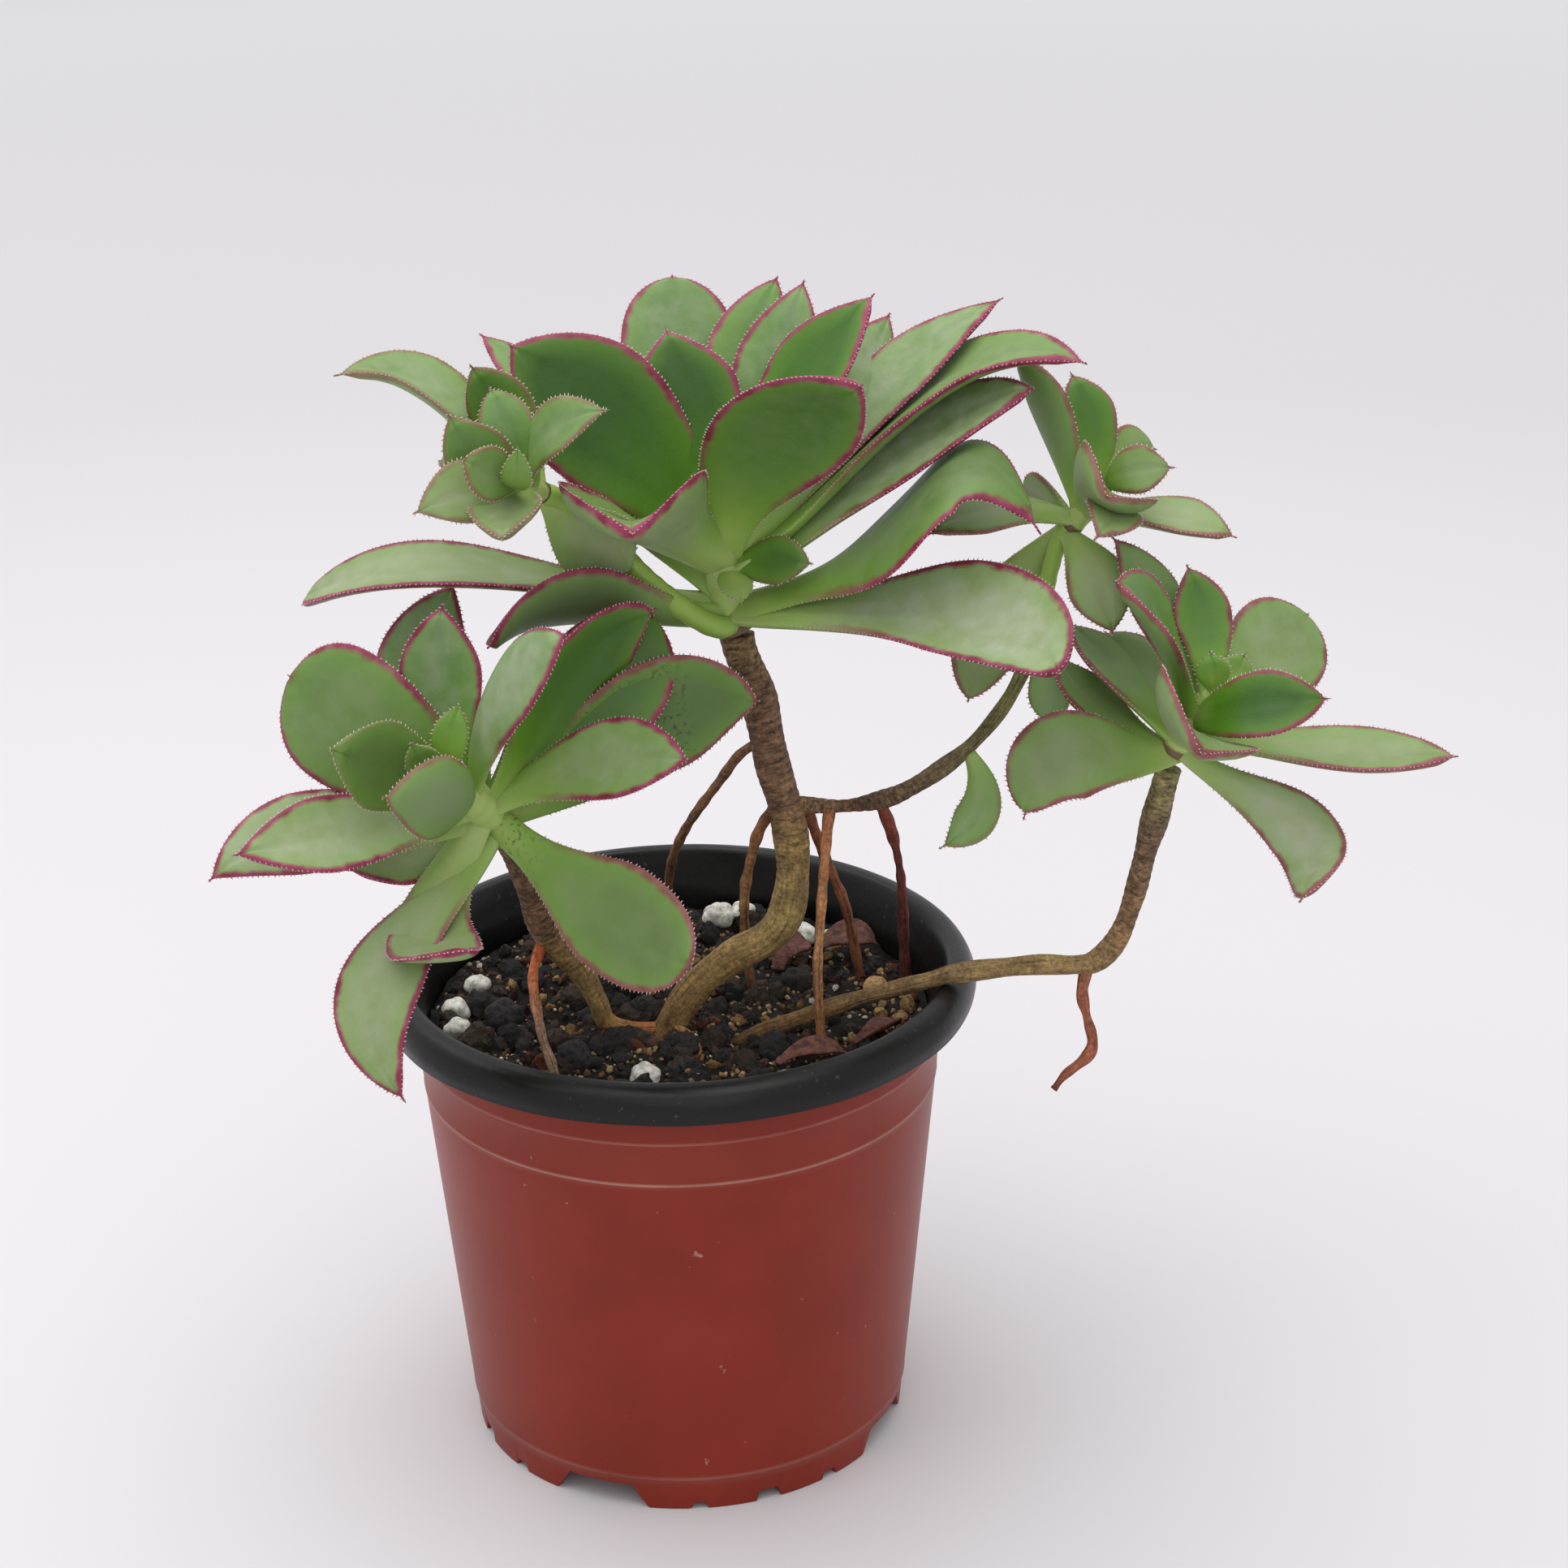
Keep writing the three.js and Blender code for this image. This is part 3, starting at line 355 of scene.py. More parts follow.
lip_under = smooth_line([
    (liner_outer(80), 80), (46.9, 86.3), (48.3, 87.8), (50.3, 87.7), (51.4, 86), (51.4, 83.1),
], 5)
lip_over = smooth_line([
    (52.3, 83.1), (RIM_RADIUS, 85.4), (51.5, 87.9), (49.4, POT_HEIGHT), (47.2, 88.2), (liner_inner(82), 82),
], 6)
liner_line = [
    *floor_disc(GAP, 0.2), (liner_outer(LINER_FLOOR), LINER_FLOOR), *lip_under.tolist(), *lip_over.tolist(),
    (liner_inner(78), 78), (liner_inner(70), 70), (liner_inner(LINER_FLOOR_TOP), LINER_FLOOR_TOP),
    *reversed(floor_disc(GAP + LINER_THICKNESS, 0.7)),
]
liner_rings, liner_angle = turned_rings(liner_line, LINER_STEPS)
LIP_WAVE = 0.12
above_soil = np.exp(-((liner_rings[..., 2] - 84) / 3) ** 2)
folds = LIP_WAVE * (np.sin(5 * liner_angle + 1) + 0.7 * np.sin(13 * liner_angle + 2))
liner_rings[..., :2] *= (1 + above_soil * folds / 50)[..., None]
liner_points, liner_faces = closed_skin(liner_rings)
liner_piece = put_mesh("pot_inner_liner", [(liner_points, liner_faces, {})], liner_plastic)
punch_drains(liner_piece)
liner_piece.data.set_sharp_from_angle(angle=np.radians(LINER_CREASE))
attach(liner_piece, "root")
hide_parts("pot_liner")

# Soil
# One body of potting mix that fills the liner: black lava lumps, bark, tan grit and perlite crumbs, packed
# loose. Its top is a bed of fine earth with the larger grains half sunk in it.
SOIL_HEIGHT = 79
SOIL_ROUGHNESS = 0.7
SOIL_BOTTOM = LINER_FLOOR_TOP + GAP
TOP_RADIUS = liner_inner(SOIL_HEIGHT) - GAP
draw = np.random.default_rng(7)


def soil_surface(x, y):
    """Height of the soil: a low mound with long swells, sin(0.55x + 0.9) cos(0.47y) and
    sin(0.31x - 0.42y + 2)."""
    swells = np.sin(0.55 * x + 0.9) * np.cos(0.47 * y) + np.sin(0.31 * x - 0.42 * y + 2)
    return SOIL_HEIGHT + SOIL_ROUGHNESS * swells + 0.5 - np.hypot(x, y) / TOP_RADIUS


def ball(level):
    """Corners and faces of an icosphere of radius one: 20 faces at level 1, and four times more a level."""
    shape = bmesh.new()
    bmesh.ops.create_icosphere(shape, subdivisions=level, radius=1)
    corners = np.array([corner.co[:] for corner in shape.verts])
    faces = np.array([[corner.index for corner in face.verts] for face in shape.faces])
    shape.free()
    return corners, faces


def unit(vectors):
    return vectors / np.linalg.norm(vectors, axis=-1, keepdims=True)


def turned_at_random(points):
    """Each set of points p turned by a random unit quaternion of scalar w and vector v, to
    p (w^2 - v . v) + 2 v (v . p) + 2 w v x p."""
    w, v = np.split(unit(draw.normal(size=(len(points), 1, 4))), [1], axis=-1)
    along = np.sum(v * points, axis=-1, keepdims=True)
    squares = w * w - np.sum(v * v, axis=-1, keepdims=True)
    return points * squares + 2 * v * along + 2 * w * np.cross(v, points)


def scattered(level, centres, radii, stretch, lumpiness, colours):
    """Grains: each is a ball squashed by its stretch, its corners moved in or out at random, and turned."""
    corners, faces = ball(level)
    count = len(centres)
    lumps = 1 + lumpiness * draw.uniform(-1, 1, (count, len(corners), 1))
    moved = corners[None] * lumps * stretch[:, None]
    turned = turned_at_random(moved) * radii[:, None, None] + centres[:, None]
    blocks = faces[None] + (np.arange(count) * len(corners))[:, None, None]
    shades = np.repeat(colours, len(corners), axis=0)
    return turned.reshape(-1, 3), [blocks.reshape(-1, 3)], {"shade": shades}


def strewn(count, low, high):
    """Random places on the soil inside the liner, with radii between low and high, more of the small."""
    radii = low + (high - low) * draw.random(count) ** 1.8
    away = (TOP_RADIUS - radii - 0.4) * np.sqrt(draw.random(count))
    angle = draw.uniform(0, 2 * np.pi, count)
    return away * np.cos(angle), away * np.sin(angle), radii


def picked(count, codes, shares):
    """A random colour of the list for each grain, a little lighter or darker."""
    choice = draw.choice(len(codes), count, p=np.array(shares) / np.sum(shares))
    colours = np.array([linear(code) for code in codes])[choice]
    colours[:, :3] *= draw.uniform(0.75, 1.3, (count, 1))
    return np.clip(colours, 0, 1)


# Potting mix: dull and dark, each grain with its own colour, with pores and crumbs finer than the grains.
soil_mix, place = new_material("lava_and_bark_potting_mix")
shade = add_node(soil_mix, "Attribute", {}, attribute_name="shade")
pores = add_node(soil_mix, "TexNoise", {"Vector": place, "Scale": 1300, "Detail": 5, "Roughness": 0.7})
pore_tone = add_node(soil_mix, "ValToRGB", {"Fac": pores}, [
    (0.35, (0.35, 0.35, 0.35, 1)), (0.68, (1.35, 1.3, 1.25, 1)),
])
finish_material(soil_mix, {
    "Base Color": add_node(
        soil_mix, "Mix", {0: 1.0, 6: shade, 7: pore_tone}, out=2, data_type="RGBA", blend_type="MULTIPLY",
    ),
    "Roughness": 0.88,
    "Normal": add_node(soil_mix, "Bump", {"Height": pores, "Strength": 1.0, "Distance": 0.0009}),
})

bed_line = [
    *floor_disc(2 * GAP + LINER_THICKNESS, 0.9), (TOP_RADIUS - 6.5, SOIL_BOTTOM), (TOP_RADIUS - 3, 45),
    (TOP_RADIUS, SOIL_HEIGHT - 1),
    *((share * TOP_RADIUS, SOIL_HEIGHT) for share in np.linspace(1, 0.01, 90)),
]
bed_rings, _ = turned_rings(bed_line, BED_STEPS)
on_top = bed_rings[..., 2] > SOIL_HEIGHT - 0.5
bed_x, bed_y = bed_rings[..., 0], bed_rings[..., 1]
crumbs = np.sin(1.9 * bed_x + 2 * np.sin(1.3 * bed_y)) * np.sin(2.2 * bed_y + 1.7 * np.sin(1.1 * bed_x))
bed_rings[..., 2] = np.where(on_top, soil_surface(bed_x, bed_y) + 0.35 * crumbs - 0.5, bed_rings[..., 2])
bed_points, bed_faces = closed_skin(bed_rings)
bed_shade = np.tile(linear("211813"), (len(bed_points), 1))
soil_parts = [(bed_points, bed_faces, {"shade": bed_shade})]
# Each kind of grain: how many, ball level, least and greatest radius, squash, lumpiness, colours and shares
GRAIN_KINDS = [
    (190, 3, 1.6, 3.6, (1, 0.85, 0.72), 0.2, "2b2829 373030 45382f 302826", [4, 3, 2, 2]),
    (560, 2, 0.8, 1.9, (1, 0.8, 0.65), 0.22, "2e2a2a 42342a 5a4230 93703f b8965f", [5, 4, 3, 2, 1.6]),
    (300, 2, 1.0, 2.6, (1, 0.42, 0.26), 0.15, "42211a 5a2f1d 2f1a13 7a442a", [3, 2, 3, 1]),
    (2700, 1, 0.3, 0.85, (1, 0.8, 0.7), 0.2, "3a2d21 7a5c3b b08e60 cdb186 e8e2d5", [5, 3, 4, 3, 1.6]),
]
for count, level, low, high, squash, lumpiness, codes, shares in GRAIN_KINDS:
    x, y, radii = strewn(count, low, high)
    lift = draw.uniform(-0.5, 0.35, count) * radii
    centres = np.stack([x, y, soil_surface(x, y) - 0.3 + lift], -1)
    stretch = np.array(squash) * draw.uniform(0.85, 1.15, (count, 3))
    colours = picked(count, codes.split(), shares)
    soil_parts.append(scattered(level, centres, radii, stretch, lumpiness, colours))
soil_piece = put_mesh("potting_soil", soil_parts, soil_mix, sharp_angle=SOIL_CREASE)
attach(soil_piece, "root")
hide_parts("soil")

# Woody stem
# The trunk and its three branches, one grown body of young wood under thin bark. Rings of old leaf scars
# lie close together up the stems, and the low trunk peels in fibres where it bends.
TRUNK = [
    (-5.3, -9.5, 71, 2.9), (-1.3, -9, 79.9, 2.9), (3.3, -8.5, 87.1, 2.8), (9.6, -8, 92.4, 2.8),
    (15.7, -7.5, 95.8, 3), (19.2, -7, 100.1, 3.2), (20.6, -5.7, 108.5, 2.9),
    (19.7, -4.5, 117.9, 3), (17.3, -3.2, 127, 3.1), (15.2, -1.7, 138, 3.1),
    (12.3, -0.6, 146.3, 2.9), (11.7, -0.3, 149.2, 2.9),
]
LEFT_BRANCH = [
    (-1.4, -9, 78.9, 1.7), (-9.3, -9, 79.7, 1.4), (-12.6, -9, 81.2, 1.6), (-13.9, -9.7, 85.4, 1.8),
    (-17, -10.6, 92.5, 2.2), (-20.4, -12, 97.3, 2.7), (-23, -14.5, 103.5, 2.5),
    (-24.7, -19, 114.6, 2.4), (-27.9, -23.6, 124, 2.3),
]
LOW_BRANCH = [
    (-2.6, -9.4, 74.5, 1.8), (6, -10.8, 74.8, 1.6), (12.7, -12.2, 79, 1.5),
    (18.7, -12.5, 81.6, 1.5), (31.9, -13, 86.7, 1.45), (43.1, -13, 89.6, 1.5),
    (48.7, -13, 91.1, 1.6), (61.3, -13, 92.4, 1.8), (68.6, -13, 92.3, 1.8), (72.6, -13, 93, 2),
    (76.2, -13, 97.2, 1.8), (78.7, -13, 104.5, 1.8), (80.7, -13.8, 114.4, 2.1),
    (82.1, -14.5, 121, 2.3), (83.9, -15, 129.6, 2.1),
]
HIGH_BRANCH = [
    (20.1, -3.6, 119.3, 1.4), (29.5, -4, 119, 1.3), (36.5, -4, 120.2, 1.6), (41, -3.4, 121.9, 1.5),
    (46.4, -2.6, 125.1, 1.4), (52, -1.4, 129.4, 1.3), (57.6, -0.2, 136.2, 1.3),
    (61.5, 1, 144.1, 1.3), (63.5, 2.3, 150.3, 1.3),
]
# Each stem: its route, how scarred it is at shares of its length, and its colours at shares of its length
STEMS = [
    (TRUNK, [(0, 0.25), (0.5, 0.3), (0.6, 0.8), (1, 1)], [
        (0, "6f5636"), (0.25, "86704a"), (0.45, "84744c"), (0.58, "83704a"), (0.66, "6c5442"),
        (0.85, "664f40"), (1, "756248"),
    ]),
    (LEFT_BRANCH, [(0, 0.2), (0.45, 0.4), (0.6, 1), (1, 1)], [
        (0, "8f4f2c"), (0.14, "8c6a40"), (0.3, "927f56"), (0.5, "8a7450"), (0.62, "6c5644"),
        (0.85, "664f40"), (1, "7b7354"),
    ]),
    (LOW_BRANCH, [(0, 0.1), (0.62, 0.2), (0.74, 0.8), (1, 0.9)], [
        (0, "5c4530"), (0.2, "6b5236"), (0.45, "7d6a4b"), (0.62, "8a7652"), (0.75, "7a6248"),
        (0.9, "6a5746"), (1, "8b8a62"),
    ]),
    (HIGH_BRANCH, [(0, 0.9), (0.35, 0.8), (0.5, 0.25), (1, 0.05)], [
        (0, "76604a"), (0.2, "5f4839"), (0.5, "655a45"), (0.75, "6a6c46"), (1, "7f9060"),
    ]),
]
SCAR_SPACING = 1.75
STEM_STEP = 0.33
STEM_SIDES = 32
THIN_STEP = 0.5
SPAN_STEPS = 24
ROOT_SIDES = 14
STEM_WRAP = 2.2
ROOT_WRAP = 0.9


def length_along(line):
    """How far along a line of points each one lies."""
    return np.concatenate([[0], np.cumsum(np.linalg.norm(np.diff(line, axis=0), axis=1))])


def even_line(route, step):
    """The smooth line of a route of x, y, z and radius, taken again at even steps of its length."""
    line = smooth_line(route, SPAN_STEPS)
    length = length_along(line[:, :3])
    distance = np.linspace(0, length[-1], int(length[-1] / step) + 2)
    return np.stack([np.interp(distance, length, column) for column in line.T], -1), distance


def tube(route, step, sides, relief, *details):
    """Rings round a route's line: at angle q, radius plus relief out along cos q across + sin q upward,
    where across is +Y less its part along the line. Relief takes distances, angles and its details."""
    line, distance = even_line(route, step)
    along = unit(np.gradient(line[:, :3], axis=0))
    across = unit(np.array([0, 1, 0]) - along * along[:, 1:2])
    upward = np.cross(along, across)
    angle = full_turn(sides)
    radius = (line[:, 3:4] + relief(distance[:, None], angle[None], *details))[..., None]
    turn = angle[None, :, None]
    direction = np.cos(turn) * across[:, None] + np.sin(turn) * upward[:, None]
    return line[:, None, :3] + radius * direction, distance


def with_ends(values):
    """Values at rings' points as one list, with the first and last ring's mean added for the end points."""
    return np.concatenate([values.reshape(-1, *values.shape[2:]), [values[0].mean(0), values[-1].mean(0)]])


def blended(distance, stops):
    """Linear colours at distances along a stem, blended between stops of (share of the length, colour)."""
    shares = distance / distance[-1]
    colours = np.array([linear(code) for _, code in stops])
    places = [place for place, _ in stops]
    return np.stack([np.interp(shares, places, channel) for channel in colours.T], -1)


def scar_relief(distance, angle, phase):
    """Depth of the scar rings, and slower swellings: a ridge each spacing, (1 - |sin|) with a wandering
    phase, broken along its turn."""
    wander = 0.55 * np.sin(angle + phase) + 0.3 * np.sin(3 * angle + distance * 0.4 + phase)
    ridge = np.abs(np.sin(np.pi * distance / SCAR_SPACING + wander + 0.4 * np.sin(distance * 0.37)))
    swell = 0.12 * np.sin(distance * 0.5 + phase) + 0.1 * np.sin(2 * angle + distance * 0.21)
    broken = 0.55 + 0.45 * np.sin(2 * angle + 0.9 * distance + phase) * np.sin(angle - 1.7 * distance)
    return 0.2 * (ridge - 0.7) * broken, swell


def scarred_share(distance, scarring):
    """How scarred a stem is at its distances, between its stops."""
    return np.interp(distance / distance.max(), *zip(*scarring))


def stem_relief(distance, angle, phase, scarring):
    """The scar rings, as deep as the stem is scarred there, and its swellings."""
    ridge, swell = scar_relief(distance, angle, phase)
    return ridge * scarred_share(distance, scarring) + swell


# Bark: dull tan to grey-brown. Where it is scarred, dark broken lines and ridges lie across the stem, and
# elsewhere pale fibres and thin dark cracks run along it. Across lines are 0.7 mm apart, fibres 0.5 mm.
bark, place = new_material("young_aeonium_bark")
shade = add_node(bark, "Attribute", {}, attribute_name="shade")
wrap = add_node(bark, "Attribute", {}, out="Vector", attribute_name="wrap")
groove = add_node(bark, "Attribute", {}, out="Fac", attribute_name="groove")
scar = add_node(bark, "Attribute", {}, out="Fac", attribute_name="scar")
across_place = add_node(bark, "Mapping", {"Vector": wrap, "Scale": (0.5, 0.5, 1.5)})
along_place = add_node(bark, "Mapping", {"Vector": wrap, "Scale": (2.2, 2.2, 0.16)})
grit, blotch, cross_lines, fibres = (
    add_node(bark, "TexNoise", {"Vector": where, "Scale": scale, "Detail": detail, "Roughness": roughness})
    for where, scale, detail, roughness in (
        (place, 1500, 5, 0.65), (place, 260, 4, 0.5), (across_place, 1, 5, 0.65), (along_place, 1, 4, 0.6),
    )
)
grit_tone, blotch_tone, cross_tone, fibre_tone = (
    add_node(bark, "ValToRGB", {"Fac": pattern}, [(at, (*tone, 1)) for at, tone in stops])
    for pattern, stops in (
        (grit, ((0.32, (0.5, 0.46, 0.42)), (0.66, (1.3, 1.28, 1.22)))),
        (blotch, ((0.35, (0.72, 0.68, 0.64)), (0.65, (1.2, 1.18, 1.12)))),
        (cross_lines, ((0.36, (0.3, 0.25, 0.22)), (0.48, (1.2, 1.14, 1.06)), (0.66, (2.2, 2.14, 2.0)))),
        (fibres, ((0.33, (0.5, 0.44, 0.36)), (0.44, (1.3, 1.25, 1.14)), (0.68, (1.9, 1.84, 1.66)))),
    )
)
line_tone = add_node(bark, "Mix", {0: scar, 6: fibre_tone, 7: cross_tone}, out=2, data_type="RGBA")
line_height = add_node(bark, "Mix", {0: scar, 2: fibres, 3: cross_lines})
skin = shade
for tone in (grit_tone, blotch_tone, line_tone):
    skin = add_node(bark, "Mix", {0: 1.0, 6: skin, 7: tone}, out=2, data_type="RGBA", blend_type="MULTIPLY")
line_bump = add_node(bark, "Bump", {"Height": line_height, "Strength": 0.9, "Distance": 0.0008})
# Painted shade: the colour darkens towards dark brown in the grooves between the scar ridges, as deep as the
# groove.
finish_material(bark, {
    "Base Color": add_node(bark, "Mix", {0: groove, 6: skin, 7: linear("2c1f18")}, out=2, data_type="RGBA"),
    "Roughness": 0.8,
    "Normal": add_node(bark, "Bump", {
        "Height": grit, "Strength": 0.5, "Distance": 0.0004, "Normal": line_bump,
    }),
})


def wrapped(distance, sides, radius):
    """A place on a stem's skin for patterns that follow it: radius cos q, radius sin q and the distance."""
    angle = full_turn(sides)
    turn = np.stack([radius * np.cos(angle), radius * np.sin(angle), 0 * angle, 0 * angle + 1], -1)
    return with_ends(turn[None] + distance[:, None, None] * np.array([0, 0, 1, 0]))


def shaded(distance, sides, colours):
    """The same colour all round a stem at each distance."""
    return with_ends(np.repeat(blended(distance, colours)[:, None], sides, axis=1))


stem_parts = []
for number, (route, scarring, colours) in enumerate(STEMS):
    phase = 2.1 * number
    rings, distance = tube(route, STEM_STEP, STEM_SIDES, stem_relief, phase, scarring)
    ridge, _ = scar_relief(distance[:, None], full_turn(STEM_SIDES)[None], phase)
    scar_here = scarred_share(distance, scarring)[:, None] + 0 * ridge
    # Painted shade in the scar grooves: the deeper a groove between ridges, the darker its colour.
    depth = np.clip(-ridge * 6, 0, 1) * 0.4 * scar_here
    stem_parts.append((*closed_skin(rings), {
        "shade": shaded(distance, STEM_SIDES, colours), "groove": with_ends(depth),
        "scar": with_ends(scar_here), "wrap": wrapped(distance, STEM_SIDES, STEM_WRAP),
    }))
stem_piece = put_mesh("woody_stems", stem_parts, bark)
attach(stem_piece, "root")
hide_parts("woody_stem")

# Aerial roots
# Thin roots that grew from the wood and hang to the soil, wiry and dry. Each is its own piece, rooted in
# the stem, and all but the sixth end in the soil.
# Each root: its route, how knobbly it is, and its colours from top to tip
ROOTS = [
    ([(17, -2, 131, 0.9), (12, 0, 127.5, 0.9), (7.8, 4, 120.3, 0.85), (1.1, 14, 106.6, 0.85),
      (-2, 26, 93, 0.85), (-3.3, 36, 75, 0.9)], 0.1, [(0, "7a5a45"), (1, "6e4f3a")]),
    ([(17.6, -4.4, 119.6, 1), (14.9, -1.5, 113.8, 0.95), (13.4, 0, 108.1, 0.9), (12, 2.2, 99, 0.9),
      (12.2, 3.6, 88, 0.9), (13.5, 4.7, 75, 0.9)], 0.18, [(0, "7b5038"), (0.5, "8b6a4c"), (1, "5d4330")]),
    ([(27, -4.5, 118.4, 1.1), (26.4, -7, 114.7, 0.95), (25.2, -12.5, 101.9, 0.85),
      (24.5, -15.2, 93.9, 0.85), (24.7, -16.2, 86.6, 0.85), (25.4, -16.8, 75, 0.85)], 0.12,
     [(0, "8a5a40"), (0.5, "96704f"), (1, "7c5238")]),
    ([(23, -3.2, 118.2, 1.1), (25.3, 1, 110, 0.95), (27.7, 4.2, 102.1, 0.9), (30, 7, 94.1, 0.9),
      (33.3, 11, 75, 0.9)], 0.12,
     [(0, "774432"), (0.5, "80523a"), (1, "6d4533")]),
    ([(35.6, -4, 119.8, 1.2), (37.6, -1.4, 113.6, 1.1), (38.8, 1, 107.9, 0.75),
      (39.6, 4, 101.2, 0.75), (40, 7, 94.3, 1), (40.8, 11.5, 75, 1)], 0.16,
     [(0, "6b2f26"), (0.5, "5e2c25"), (1, "54302a")]),
    ([(71.2, -13, 92.2, 1.1), (70.3, -14, 87.6, 1), (71, -14.6, 83.5, 0.85), (72, -15.4, 78.9, 1),
      (71, -16, 76, 0.95), (67.2, -17.2, 73.1, 0.8), (65.3, -17.8, 70.7, 0.7)], 0.2,
     [(0, "7f5240"), (0.6, "8a5340"), (1, "7b4638")]),
    ([(-22, -13.2, 99.8, 1), (-23.9, -15, 95.5, 0.95), (-24.2, -18.5, 92.6, 0.9),
      (-22.6, -25, 86.1, 0.85), (-20.9, -28, 82.3, 0.85), (-18.9, -32, 75, 0.85)], 0.14,
     [(0, "b0552c"), (0.3, "a8694a"), (0.55, "8c7468"), (1, "7d6a62")]),
    ([(-1, -10, 80.6, 0.9), (2.6, -14.6, 80, 0.85), (4.4, -17.4, 75, 0.85)], 0.12,
     [(0, "9a7a4e"), (1, "86663f")]),
]


def root_relief(distance, angle, number, knobbliness):
    """Knots where two slow waves along a root meet, and creases that wind round it."""
    knots = np.sin(distance * 0.9 + 3 * number) * np.sin(distance * 0.37 + number)
    return knobbliness * (knots + 0.35 * np.sin(3 * angle + distance * 0.25 + number))


root_skin = bark.copy()
root_skin.name = "dry_root_skin"
for number, (route, knobbliness, colours) in enumerate(ROOTS):
    rings, distance = tube(route, THIN_STEP, ROOT_SIDES, root_relief, number, knobbliness)
    points, faces = closed_skin(rings)
    none = np.zeros(len(points))
    root_piece = put_mesh(f"hanging_root_{number + 1}", [(points, faces, {
        "shade": shaded(distance, ROOT_SIDES, colours), "groove": none, "scar": none,
        "wrap": wrapped(distance, ROOT_SIDES, ROOT_WRAP),
    })], root_skin)
    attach(root_piece, "root")
    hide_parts(f"aerial_root_{number + 1}")
